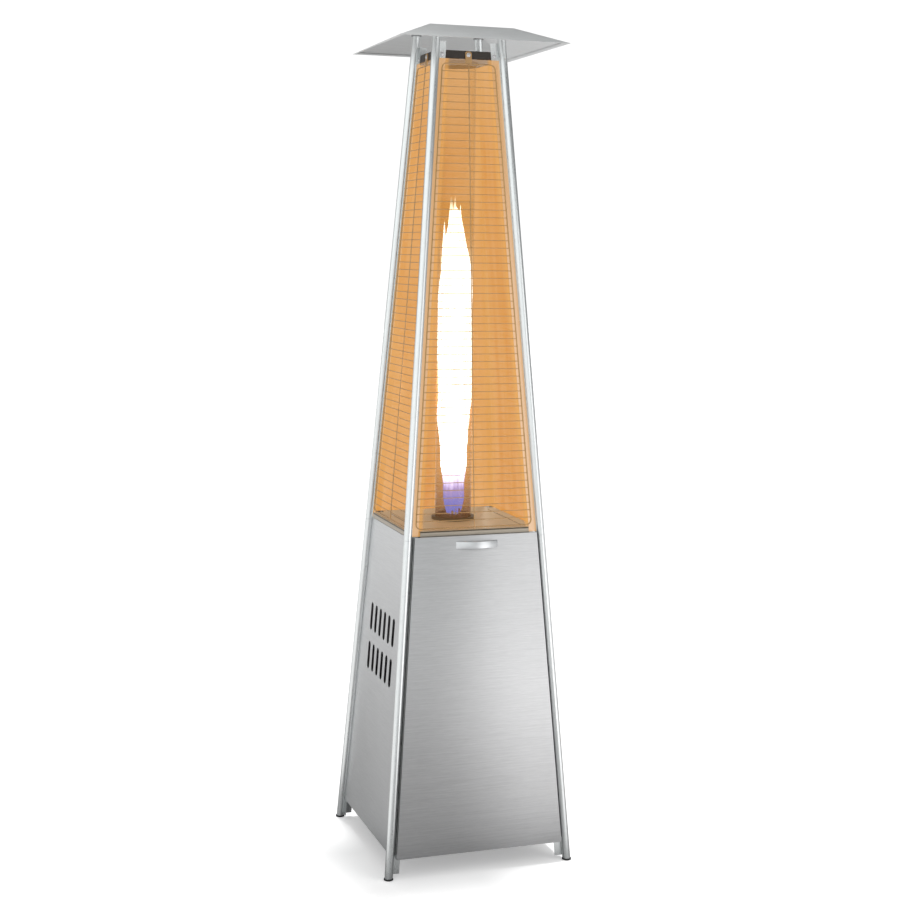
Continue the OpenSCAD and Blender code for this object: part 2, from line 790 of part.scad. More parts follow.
module reflector_brackets() {
    color("gray") for (corner = SIGNS) difference() {
        union() {
            intersection() {
                on_leg(corner) translate([0, 0, along(leg_top_z - 40)])
                    cylinder(r = bore_r - fit, h = 50);
                translate([corner[0] * top_half - 50, corner[1] * top_half - 50, leg_top_z - 60])
                    cube([100, 100, 61]);
            }
            translate([corner[0] * bracket_half, corner[1] * bracket_half, leg_top_z + 0.1])
                cylinder(r = 14, h = 8 - sheet_t - 0.2);
        }
        translate([corner[0] * bracket_half, corner[1] * bracket_half, leg_top_z - 12])
            cylinder(r = bracket_screw_r, h = 30);
    }
}

module reflector_screws() {
    color("lightgray") for (corner = SIGNS)
        translate([corner[0] * bracket_half, corner[1] * bracket_half, 0]) {
            translate([0, 0, total_h - 14]) cylinder(r = bracket_screw_r - 0.05, h = 14);
            translate([0, 0, total_h]) cylinder(r = 5, h = 2.4);
        }
}

// ---- the whole heater

for (i = [0:3]) {
    foot(SIGNS[i]);
    lower_leg(SIGNS[i]);
    upper_leg(SIGNS[i]);
    joint_sleeve(SIGNS[i]);
}
leg_joint_screws();
base_plate();
casing_panel(3);  // left_panel
casing_panel(1);  // right_panel
casing_panel(2);  // rear_panel
panel_screws();
front_door();
door_handle();
handle_screws();
hinge_bracket(-1);  // hinge_bracket_left
hinge_bracket(1);  // hinge_bracket_right
hinge_pin(-1);  // hinge_pin_left
hinge_pin(1);  // hinge_pin_right
door_magnet();
magnet_strike();
burner_tray();
control_box();
gas_valve();
valve_plunger();
control_knob();
igniter_housing();
igniter_button();
gas_inlet();
supply_pipe();
burner_jet();
burner_cup();
flame_grid();
pilot_burner();
thermocouple();
spark_electrode();
ignition_lead();
tilt_switch();
lower_tube_ring();
glass_tube();
top_tube_plate();
wire_guard(0);  // wire_guard_front
wire_guard(1);  // wire_guard_right
wire_guard(2);  // wire_guard_rear
wire_guard(3);  // wire_guard_left
top_frame();
frame_screws();
reflector_hood();
reflector_brackets();
reflector_screws();
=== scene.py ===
import math

import bmesh
import bpy
from mathutils import Matrix, Vector


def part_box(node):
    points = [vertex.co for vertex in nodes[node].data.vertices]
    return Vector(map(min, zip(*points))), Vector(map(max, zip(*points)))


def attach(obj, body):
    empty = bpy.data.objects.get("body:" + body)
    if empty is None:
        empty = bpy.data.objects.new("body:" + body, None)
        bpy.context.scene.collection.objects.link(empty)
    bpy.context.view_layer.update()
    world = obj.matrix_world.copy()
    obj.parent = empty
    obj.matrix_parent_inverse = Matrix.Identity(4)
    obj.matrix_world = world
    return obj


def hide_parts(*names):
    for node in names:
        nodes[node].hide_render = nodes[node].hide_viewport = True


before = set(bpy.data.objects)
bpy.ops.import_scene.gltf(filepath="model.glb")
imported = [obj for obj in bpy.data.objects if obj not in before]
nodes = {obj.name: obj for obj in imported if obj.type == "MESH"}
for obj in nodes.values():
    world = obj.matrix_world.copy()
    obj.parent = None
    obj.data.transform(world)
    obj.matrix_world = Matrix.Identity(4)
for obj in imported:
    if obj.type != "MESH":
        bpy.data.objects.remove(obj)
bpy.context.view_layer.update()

scene = bpy.context.scene

# ---- Camera
# Stands to the front and left of the heater, a little above its middle, so that the casing is
# seen from above and the reflector from below.

AIM = Vector((0, 0, 1.125))
CAMERA_TURN = math.radians(-18.6)
CAMERA_RISE = math.radians(7.04)
CAMERA_DISTANCE = 4.517
CAMERA_ROLL = math.radians(0.62)

away = Vector((math.sin(CAMERA_TURN) * math.cos(CAMERA_RISE),
               -math.cos(CAMERA_TURN) * math.cos(CAMERA_RISE),
               math.sin(CAMERA_RISE)))
camera = bpy.data.objects.new("camera", bpy.data.cameras.new("camera"))
camera.data.lens = 64.5
camera.data.sensor_width = 36
camera.data.shift_x = -0.004
camera.location = AIM + away * CAMERA_DISTANCE
camera.rotation_mode = "QUATERNION"
camera.rotation_quaternion = ((-away).to_track_quat("-Z", "Y")
                              @ Matrix.Rotation(CAMERA_ROLL, 3, "Z").to_quaternion())
scene.collection.objects.link(camera)
scene.camera = camera

# ---- Studio
# A pale floor that runs out of sight, a soft light overhead, one tall soft box at the right and
# a high sun for the shadow. Floor and surround have darker tones only in what metal mirrors.

scene.view_settings.view_transform = "Standard"


class Field:
    """A value that changes over a surface or along a row: operators on it add Math nodes."""

    def __init__(self, owner, socket):
        self.owner, self.socket = owner, socket

    def math(self, operation, *values):
        return self.owner.node("ShaderNodeMath", {"operation": operation}, *values)

    def __add__(self, other):
        return self.math("ADD", self, other)

    def __sub__(self, other):
        return self.math("SUBTRACT", self, other)

    def __rsub__(self, other):
        return self.math("SUBTRACT", other, self)

    def __mul__(self, other):
        return self.math("MULTIPLY", self, other)

    def __truediv__(self, other):
        return self.math("DIVIDE", self, other)

    def __pow__(self, other):
        return self.math("POWER", self, other)

    def __abs__(self):
        return self.math("ABSOLUTE", self)

    __radd__ = __add__
    __rmul__ = __mul__


class Nodes:
    """A node tree: node() adds a node, and fields are linked to it while plain values are set."""

    def put(self, socket, value):
        if isinstance(value, Field):
            self.tree.links.new(value.socket, socket)
        else:
            socket.default_value = value

    def node(self, kind, settings, *values, out=0, **named):
        made = self.tree.nodes.new(kind)
        for name, setting in settings.items():
            if name == "stops":
                while len(made.color_ramp.elements) < len(setting):
                    made.color_ramp.elements.new(0.5)
                for stop, (place, colour) in zip(made.color_ramp.elements, setting):
                    stop.position, stop.color = place, (*colour, 1)
            else:
                setattr(made, name, setting)
        for i, value in enumerate(values):
            self.put(made.inputs[i], value)
        for name, value in named.items():
            self.put(made.inputs[name.replace("_", " ")], value)
        return Field(self, made.outputs[out])


class Finish(Nodes):
    """A material round one Principled shader, with patterns on Object coordinates."""

    def __init__(self, name):
        self.material = bpy.data.materials.new(name)
        self.material.use_nodes = True
        self.tree = self.material.node_tree
        self.tree.nodes.clear()
        self.shader = self.tree.nodes.new("ShaderNodeBsdfPrincipled")
        end = self.tree.nodes.new("ShaderNodeOutputMaterial")
        self.tree.links.new(self.shader.outputs[0], end.inputs[0])
        self.place = self.node("ShaderNodeTexCoord", {}, out=3)

    def set(self, **sockets):
        for name, value in sockets.items():
            self.put(self.shader.inputs[name.replace("_", " ")], value)

    def axis(self, letter):
        return self.node("ShaderNodeSeparateXYZ", {}, self.place, out="XYZ".index(letter))

    def noise(self, scale, stretch=(1, 1, 1), detail=3.0):
        spread = self.node("ShaderNodeMapping", {}, Vector=self.place, Scale=stretch)
        return self.node("ShaderNodeTexNoise", {}, Vector=spread, Scale=scale, Detail=detail)

    def between(self, value, low, high):
        return self.node("ShaderNodeMapRange", {"interpolation_type": "SMOOTHSTEP"},
                         value, low, high, 0.0, 1.0)

    def along(self, value, low, high):
        return self.node("ShaderNodeMapRange", {}, value, low, high, 0.0, 1.0)

    def ramp(self, value, *stops):
        return self.node("ShaderNodeValToRGB", {"stops": stops}, value)

    def blend(self, factor, first, second):
        made = self.tree.nodes.new("ShaderNodeMix")
        made.data_type = "RGBA"
        for i, value in ((0, factor), (6, first), (7, second)):
            self.put(made.inputs[i], value if isinstance(value, Field) or i == 0
                     else (*value, 1))
        return Field(self, made.outputs[2])

    def bump(self, height, depth, strength=1.0):
        self.set(Normal=self.node("ShaderNodeBump", {}, Height=height, Distance=depth,
                                  Strength=strength))


FLOOR_REACH = 30
FLOOR_GLOW = 0.30

floor_finish = Finish("studio_floor")
floor_grain = floor_finish.noise(3.0)
floor_spread = floor_finish.node("ShaderNodeVectorMath", {"operation": "LENGTH"},
                                 floor_finish.place, out=1)
mirrored = floor_finish.node("ShaderNodeLightPath", {}, out=3)
floor_x, floor_y = floor_finish.axis("X"), floor_finish.axis("Y")
floor_left = floor_finish.between((floor_x * -1 - 0.25) / floor_spread, 0.42, 0.66)
floor_right = (floor_finish.between(floor_x + floor_y * 0.33 + 0.08, -0.1, 0.3)
               * floor_finish.between(floor_y * -1, 0.3, 0.6))
floor_finish.set(Base_Color=floor_finish.blend(
    mirrored,
    floor_finish.blend(floor_grain, (0.93, 0.93, 0.93), (0.96, 0.96, 0.96)),
    floor_finish.blend(floor_left + floor_right * 0.9,
                       floor_finish.ramp(floor_spread / 12, (0.10, (0.34, 0.34, 0.34)),
                                         (0.40, (0.66, 0.66, 0.66)), (0.90, (1.0, 1.0, 1.0))),
                       (1.0, 1.0, 1.0))),
    Roughness=0.8, Emission_Color=(1, 1, 1, 1), Emission_Strength=(1 - mirrored) * FLOOR_GLOW)
floor_finish.shader.inputs["Specular IOR Level"].default_value = 0.0

floor_mesh = bpy.data.meshes.new("studio_floor")
floor_mesh.from_pydata([(-FLOOR_REACH, -FLOOR_REACH, 0), (FLOOR_REACH, -FLOOR_REACH, 0),
                        (FLOOR_REACH, FLOOR_REACH, 0), (-FLOOR_REACH, FLOOR_REACH, 0)],
                       [], [(0, 1, 2, 3)])
floor_mesh.materials.append(floor_finish.material)
floor = bpy.data.objects.new("studio_floor", floor_mesh)
scene.collection.objects.link(floor)


def soft_box(name, place, size, watts, aim):
    lamp = bpy.data.lights.new(name, "AREA")
    lamp.shape = "RECTANGLE"
    lamp.size, lamp.size_y = size
    lamp.energy = watts
    box = bpy.data.objects.new(name, lamp)
    box.location = place
    box.visible_camera = False
    box.rotation_mode = "QUATERNION"
    box.rotation_quaternion = (Vector(aim) - Vector(place)).to_track_quat("-Z", "Y")
    scene.collection.objects.link(box)


soft_box("overhead_light", (0.2, -0.4, 4.6), (3.0, 3.0), 7, aim=(0, 0, 0))
soft_box("right_soft_box", (1.12, -1.6, 0.9), (1.2, 2.4), 9.6, aim=(0.35, -0.2, 0.5))

high_sun = bpy.data.objects.new("high_sun", bpy.data.lights.new("high_sun", "SUN"))
high_sun.data.energy = 1.4
high_sun.data.angle = math.radians(5)
high_sun.rotation_mode = "QUATERNION"
high_sun.rotation_quaternion = Vector((-0.07, -0.08, -1)).to_track_quat("-Z", "Y")
scene.collection.objects.link(high_sun)

LEFT_TONE, RIGHT_TONE, TOP_TONE = 1.30, 0.30, 0.70
TOWARD_LEFT = (-0.91, -0.41, 0.0)
SURROUND_LIGHT, SURROUND_SEEN_MORE = 0.60, 0.48

world = bpy.data.worlds.new("studio")
world.use_nodes = True
world.cycles.sampling_method = "NONE"
scene.world = world


class Sky(Nodes):
    """The studio round the heater: white to look at and to light by, shaded in reflections."""

    def __init__(self, world):
        self.tree = world.node_tree
        mirrored = self.node("ShaderNodeLightPath", {}, out=3)
        way = self.node("ShaderNodeTexCoord", {}, out=0)
        toward_left = self.node("ShaderNodeVectorMath", {"operation": "DOT_PRODUCT"},
                                way, TOWARD_LEFT, out=1)
        side = self.node("ShaderNodeMapRange", {"interpolation_type": "SMOOTHSTEP"},
                         toward_left, 0.04, 0.75, RIGHT_TONE, LEFT_TONE)
        rise = self.node("ShaderNodeSeparateXYZ", {}, way, out=2)
        top = self.node("ShaderNodeMapRange", {"interpolation_type": "SMOOTHSTEP"},
                        rise, 0.25, 0.8, 1.0, TOP_TONE)
        tone = self.node("ShaderNodeCombineColor", {}, side * top * 0.97, side * top,
                         side * top)
        paint = self.tree.nodes["Background"]
        plain = self.tree.nodes.new("ShaderNodeBackground")
        seen = self.node("ShaderNodeLightPath", {}, out=0)
        self.put(plain.inputs[1], seen * SURROUND_SEEN_MORE + SURROUND_LIGHT)
        self.put(paint.inputs[0], tone)
        mix = self.tree.nodes.new("ShaderNodeMixShader")
        self.put(mix.inputs[0], mirrored)
        self.tree.links.new(plain.outputs[0], mix.inputs[1])
        self.tree.links.new(paint.outputs[0], mix.inputs[2])
        self.tree.links.new(mix.outputs[0], self.tree.nodes["World Output"].inputs[0])
        plain.inputs[0].default_value = (1, 1, 1, 1)


Sky(world)

# ---- Legs
# Stainless tubes with a folded fin along each face side, brushed along their length. A lower
# and an upper tube meet on a hidden sleeve, which leaves a hair line at tray height.

CORNERS = ("fl", "fr", "bl", "br")


def coat(finish, *names):
    """Gives CAD nodes a finish."""
    for name in names:
        nodes[name].data.materials.clear()
        nodes[name].data.materials.append(finish.material)


def brushed(name, dark, light, stretch, rough, grain=1.0):
    """Brushed metal: fine streaks that run where stretch is small."""
    finish = Finish(name)
    fine = finish.noise(1400.0, stretch, 2.0)
    broad = finish.noise(300.0, stretch, 3.0)
    cloud = finish.noise(3.5, detail=2.0)
    streak = fine * 0.55 + broad * 0.45
    finish.set(Base_Color=finish.blend(finish.between(streak, 0.2, 0.8), dark, light),
               Roughness=rough - 0.06 + streak * 0.16 * grain + cloud * 0.06,
               Metallic=1.0)
    finish.shader.inputs["Specular IOR Level"].default_value = 0.5
    finish.bump(streak, 0.00003 * grain)
    return finish


leg_finish = brushed("leg_satin_steel", (0.66, 0.68, 0.68), (0.80, 0.82, 0.82),
                     (1, 1, 0.01), 0.24)
coat(leg_finish, *[f"{part}_leg_{corner}" for part in ("lower", "upper") for corner in CORNERS])

# ---- Feet
# Moulded rubber pads with a rounded edge and two grip grooves, each on a plug that is pushed
# into the foot of its leg.

rubber_finish = Finish("foot_rubber")
rubber_speck = rubber_finish.noise(700.0)
rubber_finish.set(Base_Color=rubber_finish.blend(rubber_speck, (0.012, 0.012, 0.013),
                                                 (0.035, 0.035, 0.037)),
                  Roughness=0.55 + rubber_speck * 0.25)
rubber_finish.bump(rubber_speck, 0.0002, 0.5)


def solid_mesh(name, build):
    """A mesh from a bmesh builder, with its faces turned outward."""
    mesh = bpy.data.meshes.new(name)
    work = bmesh.new()
    build(work)
    bmesh.ops.remove_doubles(work, verts=work.verts, dist=0.00001)
    bmesh.ops.recalc_face_normals(work, faces=work.faces)
    work.to_mesh(mesh)
    work.free()
    return mesh


def new_piece(name, build, finish, body="root", replaces=()):
    """A mesh piece from a bmesh builder, riding on a body."""
    piece = bpy.data.objects.new(name, solid_mesh(name, build))
    scene.collection.objects.link(piece)
    return settle(piece, finish, body, replaces)


def settle(piece, finish, body="root", replaces=()):
    """Gives a piece its finish, its body and the nodes that it stands for."""
    piece.data.materials.clear()
    piece.data.materials.append(finish.material)
    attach(piece, body)
    if replaces:
        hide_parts(*replaces)
    return piece


def smooth(piece, angle=35):
    for face in piece.data.polygons:
        face.use_smooth = True
    piece.data.set_sharp_from_angle(angle=math.radians(angle))
    return piece


def join_rings(work, rings, turns):
    """Faces from each ring of points to the next; a ring of one point closes to a tip."""
    for low, high in zip(rings, rings[1:]):
        for i in range(turns):
            corners = [low[i % len(low)], low[(i + 1) % len(low)],
                       high[(i + 1) % len(high)], high[i % len(high)]]
            work.faces.new(list(dict.fromkeys(corners)))


def lathe(work, profile, place, turns=48):
    """Turns a closed-up profile of (radius, height) points about a vertical axis."""
    rings = []
    for radius, height in profile:
        if radius == 0:
            rings.append([work.verts.new(place + Vector((0, 0, height)))])
        else:
            rings.append([work.verts.new(place + Vector((
                radius * math.cos(2 * math.pi * i / turns),
                radius * math.sin(2 * math.pi * i / turns), height))) for i in range(turns)])
    join_rings(work, rings, turns)


foot_low, foot_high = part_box("foot_fr")
FOOT_HALF = (foot_low.x + foot_high.x) / 2
PAD_RADIUS = (foot_high.x - foot_low.x) / 2
PAD_TOP = 0.005
foot_profile = [(0, 0), (PAD_RADIUS - 0.002, 0), (PAD_RADIUS, 0.0012), (PAD_RADIUS, 0.0018),
                (PAD_RADIUS - 0.0008, 0.0021), (PAD_RADIUS, 0.0024), (PAD_RADIUS, 0.0030),
                (PAD_RADIUS - 0.0008, 0.0033), (PAD_RADIUS, 0.0036),
                (PAD_RADIUS - 0.0008, PAD_TOP), (0, PAD_TOP)]


def feet(work):
    for x in (-FOOT_HALF, FOOT_HALF):
        for y in (-FOOT_HALF, FOOT_HALF):
            lathe(work, foot_profile, Vector((x, y, 0)))


smooth(new_piece("rubber_feet", feet, rubber_finish,
                 replaces=[f"foot_{corner}" for corner in CORNERS]))

# ---- Inner sheet work
# Base plate, control box, hinge brackets, tube plate, leg sleeves and reflector brackets: plain
# zinc-coated sheet and bar that is never polished, with a faint crystal mottle.

zinc_finish = Finish("zinc_sheet")
spangle = zinc_finish.node("ShaderNodeTexVoronoi", {"feature": "F1"},
                           Vector=zinc_finish.place, Scale=160.0, out=1)
spangle_value = zinc_finish.node("ShaderNodeSeparateXYZ", {}, spangle)
zinc_cloud = zinc_finish.noise(12.0)
zinc_finish.set(Base_Color=zinc_finish.blend(spangle_value * 0.5 + zinc_cloud * 0.5,
                                             (0.24, 0.25, 0.26), (0.42, 0.43, 0.44)),
                Roughness=0.42 + spangle_value * 0.12, Metallic=0.9)
zinc_finish.bump(zinc_cloud, 0.00008)
coat(zinc_finish, "base_plate", "control_box", "hinge_bracket_left", "hinge_bracket_right",
     "top_tube_plate", "reflector_brackets", *[f"joint_sleeve_{corner}" for corner in CORNERS])

# ---- Casing panels
# Three stainless sheets, brushed across, each held to the leg fins from inside so that no screw
# shows. The left and right ones have two rows of punched vent slots.

panel_finish = brushed("panel_brushed_steel", (0.63, 0.635, 0.64), (0.74, 0.745, 0.75),
                       (0.04, 0.04, 1), 0.32)
coat(panel_finish, "left_panel", "right_panel", "rear_panel")

# ---- Door
# One stainless sheet folded back on all four sides into a shallow pan, with soft bends and a
# gap in the lower fold at each hinge. It leans in with the face and hangs on two pins.

SCREW_RISE = 0.0024
SCREW_REACH = 0.005
LEG_TOP_DROP = 0.008
reflector_screws_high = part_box("reflector_screws")[1]
LEG_TOP_HALF = reflector_screws_high.x - SCREW_REACH
LEG_TOP_Z = reflector_screws_high.z - SCREW_RISE - LEG_TOP_DROP
SHRINK = (FOOT_HALF - LEG_TOP_HALF) / LEG_TOP_Z
LEAN = math.atan(SHRINK)


def half_at(z):
    """Distance from the middle of the heater to the leg axes at a height."""
    return FOOT_HALF - SHRINK * z


def on_face(side, s, z, n):
    """A point on a leaning face: 0 front, 1 right, 2 rear, 3 left. s runs along the face to the
    right, z is the height where n is 0, and n stands out of the face."""
    place = Vector((s, -half_at(z) - n * math.cos(LEAN), z + n * math.sin(LEAN)))
    return Matrix.Rotation(side * math.pi / 2, 3, "Z") @ place


DOOR_LOW, DOOR_HIGH = 0.055, 0.917
DOOR_FACE = 0.014
DOOR_GAP = 0.016
SHEET = 0.0012
HINGE_NOTCH = 0.036
NOTCH_DROP, NOTCH_RISE = 0.010, 0.005


def hard_edges(piece, width, segments=3, angle=40):
    """Softens a folded sheet's bends with a small bevel."""
    bevel = piece.modifiers.new("soft_bends", "BEVEL")
    bevel.width, bevel.segments = width, segments
    bevel.limit_method, bevel.angle_limit = "ANGLE", math.radians(angle)
    return freeze(piece)


def freeze(piece):
    """Applies a piece's modifiers to its mesh."""
    graph = bpy.context.evaluated_depsgraph_get()
    made = bpy.data.meshes.new_from_object(piece.evaluated_get(graph))
    piece.modifiers.clear()
    old, piece.data = piece.data, made
    bpy.data.meshes.remove(old)
    piece.data.name = piece.name
    return piece


def plate(work, outline, side, n0, n1):
    """A flat plate on a face: the outline's (s, z) points, from n0 out to n1."""
    back = [work.verts.new(on_face(side, s, z, n0)) for s, z in outline]
    front = [work.verts.new(on_face(side, s, z, n1)) for s, z in outline]
    work.faces.new(front)
    work.faces.new(back[::-1])
    for i in range(len(outline)):
        j = (i + 1) % len(outline)
        work.faces.new([back[i], back[j], front[j], front[i]])


def door_edge(z, inset=0.0):
    return half_at(z) - DOOR_GAP - inset


def door(work):
    """An open pan: front sheet, two side folds, a top fold and a notched bottom fold."""
    ring = {}
    for key, inset, n in (("front", 0, DOOR_FACE), ("back", 0, 0.0),
                          ("rim", SHEET, 0.0), ("inside", SHEET, DOOR_FACE - SHEET)):
        low, high = DOOR_LOW + inset, DOOR_HIGH - inset
        ring[key] = [work.verts.new(on_face(0, s, z, n)) for s, z in (
            (-door_edge(low, inset), low), (door_edge(low, inset), low),
            (door_edge(high, inset), high), (-door_edge(high, inset), high))]
    work.faces.new(ring["front"])
    work.faces.new(ring["inside"][::-1])
    for a, b in (("back", "front"), ("rim", "back"), ("inside", "rim")):
        for i in range(4):
            j = (i + 1) % 4
            work.faces.new([ring[a][i], ring[a][j], ring[b][j], ring[b][i]])


def notch_cutter(work):
    for sign in (-1, 1):
        outer = door_edge(DOOR_LOW) - SHEET
        outline = [(sign * (outer - HINGE_NOTCH), DOOR_LOW - NOTCH_DROP),
                   (sign * outer, DOOR_LOW - NOTCH_DROP),
                   (sign * outer, DOOR_LOW + NOTCH_RISE),
                   (sign * (outer - HINGE_NOTCH), DOOR_LOW + NOTCH_RISE)]
        plate(work, outline, 0, -NOTCH_DROP, DOOR_FACE - SHEET - 0.0004)


def cut_away(piece, build):
    """Cuts a bmesh-built tool out of a piece."""
    tool = new_piece("cutting_tool", build, zinc_finish)
    cut = piece.modifiers.new("cut", "BOOLEAN")
    cut.operation, cut.object, cut.solver = "DIFFERENCE", tool, "EXACT"
    freeze(piece)
    bpy.data.objects.remove(tool)
    return piece


door_finish = brushed("door_brushed_steel", (0.47, 0.47, 0.475), (0.61, 0.61, 0.615),
                      (0.03, 0.03, 1), 0.36)
door_pan = new_piece("door_pan", door, door_finish, body="door",
                     replaces=["front_door"])
cut_away(door_pan, notch_cutter)
settle(hard_edges(door_pan, 0.0009), door_finish, "door")
smooth(door_pan, 50)

# ---- Door handle
# A bowed pull bent from chromed flat bar with rounded edges, its two ends cut to sit flat on
# the door and screwed from behind.

handle_low, handle_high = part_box("door_handle")
HANDLE_LENGTH = handle_high.x - handle_low.x
HANDLE_Z = 0.892
HANDLE_HEIGHT = 0.020
HANDLE_BOW = 0.020
HANDLE_BAR = 0.0055
BAR_ROUND = 0.0016


def handle(work):
    steps = 48
    bow_radius = ((HANDLE_LENGTH / 2) ** 2 + HANDLE_BOW ** 2) / (2 * HANDLE_BOW)
    reach = math.asin(HANDLE_LENGTH / 2 / bow_radius)
    section = []
    for cx, cz, start in ((1, 1, 0), (0, 1, 90), (0, 0, 180), (1, 0, 270)):
        for k in range(5):
            turn = math.radians(start + 90 * k / 4)
            across = (HANDLE_BAR - BAR_ROUND if cx else BAR_ROUND) + BAR_ROUND * math.cos(turn)
            along = (HANDLE_HEIGHT - BAR_ROUND if cz else BAR_ROUND) + BAR_ROUND * math.sin(turn)
            section.append((across - HANDLE_BAR, along - HANDLE_HEIGHT / 2))
    rings = []
    for i in range(steps + 1):
        turn = reach * (2 * i / steps - 1)
        ring = []
        for across, along in section:
            radius = bow_radius + across
            n = max(DOOR_FACE, DOOR_FACE + HANDLE_BOW - bow_radius + radius * math.cos(turn))
            ring.append(work.verts.new(on_face(0, radius * math.sin(turn), HANDLE_Z + along, n)))
        rings.append(ring)
    join_rings(work, rings, len(section))
    work.faces.new(rings[0])
    work.faces.new(rings[-1][::-1])


chrome_finish = Finish("handle_chrome")
chrome_haze = chrome_finish.noise(60.0)
chrome_finish.set(Base_Color=chrome_finish.blend(chrome_haze, (0.60, 0.61, 0.62),
                                                 (0.68, 0.69, 0.70)),
                  Roughness=0.34 + chrome_haze * 0.05, Metallic=1.0)
chrome_finish.bump(chrome_haze, 0.00002)
smooth(new_piece("chrome_bow_handle", handle, chrome_finish, body="door",
                 replaces=["door_handle"]), 50)

# ---- Screws, pins and catch
# Turned stainless fasteners. Most keep the shape of their CAD nodes, and the button heads round
# the top frame have a washer, a domed top and a six-sided socket.

screw_finish = Finish("bright_screw_steel")
screw_haze = screw_finish.noise(400.0)
screw_finish.set(Base_Color=screw_finish.blend(screw_haze, (0.62, 0.62, 0.63), (0.80, 0.80, 0.81)),
                 Roughness=0.22 + screw_haze * 0.12, Metallic=1.0)
screw_finish.bump(screw_haze, 0.00004)
coat(screw_finish, "leg_joint_screws", "panel_screws", "handle_screws", "reflector_screws",
     "hinge_pin_left", "hinge_pin_right", "magnet_strike")

HEAD_RADIUS = 0.0045
HEAD_HEIGHT = 0.0025
HEAD_TURNS = 24
WASHER_RADIUS = 0.0058
WASHER_TOP = 0.0006
WASHER_SINK = 0.0002
SOCKET_RADIUS = 0.0017
SOCKET_DEPTH = 0.0012


def screw_head(work):
    """A button head with a washer, on its own origin, pointing up +Z."""
    lathe(work, [(0, -WASHER_SINK), (WASHER_RADIUS, -WASHER_SINK), (WASHER_RADIUS, WASHER_TOP),
                 (0, WASHER_TOP)], Vector((0, 0, 0)), HEAD_TURNS)
    dome = [(HEAD_RADIUS, WASHER_TOP)]
    for i in range(1, 5):
        turn = math.radians(18 * i)
        dome.append((HEAD_RADIUS * math.cos(turn * 0.75), WASHER_TOP
                     + (HEAD_HEIGHT - WASHER_TOP) * math.sin(turn) / math.sin(math.radians(72))))
    lathe(work, dome, Vector((0, 0, 0)), HEAD_TURNS)
    rim = sorted((v for v in work.verts if abs(v.co.z - HEAD_HEIGHT) < 0.00001),
                 key=lambda v: math.atan2(v.co.y, v.co.x))
    mouth, pit = [], []
    for i in range(6):
        turn = math.radians(60 * i)
        at = Vector((SOCKET_RADIUS * math.cos(turn), SOCKET_RADIUS * math.sin(turn), HEAD_HEIGHT))
        mouth.append(work.verts.new(at))
        pit.append(work.verts.new(at - Vector((0, 0, SOCKET_DEPTH))))
    first = rim.index(min(rim, key=lambda v: abs(math.atan2(v.co.y, v.co.x))))
    rim = rim[first:] + rim[:first]
    for i in range(6):
        j = (i + 1) % 6
        arc = [rim[(4 * i + k) % HEAD_TURNS] for k in range(5)]
        work.faces.new([*arc, mouth[j], mouth[i]])
        work.faces.new([mouth[i], mouth[j], pit[j], pit[i]])
    work.faces.new(pit)


class Recipe(Nodes):
    """A Geometry Nodes tree with named inputs that ends in Realize Instances and Set Material."""

    KINDS = {float: "NodeSocketFloat", int: "NodeSocketInt",
             bpy.types.Object: "NodeSocketObject", bpy.types.Material: "NodeSocketMaterial"}

    def __init__(self, name, **kinds):
        self.tree = bpy.data.node_groups.new(name, "GeometryNodeTree")
        self.tree.interface.new_socket("Geometry", in_out="INPUT",
                                       socket_type="NodeSocketGeometry")
        self.keys = {}
        for word, kind in {**kinds, "Finish": bpy.types.Material}.items():
            socket = self.tree.interface.new_socket(word, in_out="INPUT",
                                                    socket_type=self.KINDS[kind])
            self.keys[word] = socket.identifier
        self.tree.interface.new_socket("Geometry", in_out="OUTPUT",
                                       socket_type="NodeSocketGeometry")
        self.start = self.tree.nodes.new("NodeGroupInput")

    def input(self, word):
        return Field(self, self.start.outputs[word])

    def join(self, *parts):
        made = self.tree.nodes.new("GeometryNodeJoinGeometry")
        for part in parts:
            self.tree.links.new(part.socket, made.inputs[0])
        return Field(self, made.outputs[0])

    def end(self, geometry):
        whole = self.node("GeometryNodeRealizeInstances", {}, geometry)
        dressed = self.node("GeometryNodeSetMaterial", {}, Geometry=whole,
                            Material=self.input("Finish"))
        end = self.tree.nodes.new("NodeGroupOutput")
        self.tree.links.new(dressed.socket, end.inputs[0])

    def make(self, name, points, finish, **values):
        """Runs the recipe on a mesh of points and keeps the result as a plain mesh."""
        base = bpy.data.objects.new(name + "_points", points)
        scene.collection.objects.link(base)
        step = base.modifiers.new("recipe", "NODES")
        step.node_group = self.tree
        for word, value in {**values, "Finish": finish.material}.items():
            step[self.keys[word]] = value
        graph = bpy.context.evaluated_depsgraph_get()
        mesh = bpy.data.meshes.new_from_object(base.evaluated_get(graph))
        base.modifiers.clear()
        bpy.data.objects.remove(base)
        mesh.name = name
        piece = bpy.data.objects.new(name, mesh)
        scene.collection.objects.link(piece)
        return piece


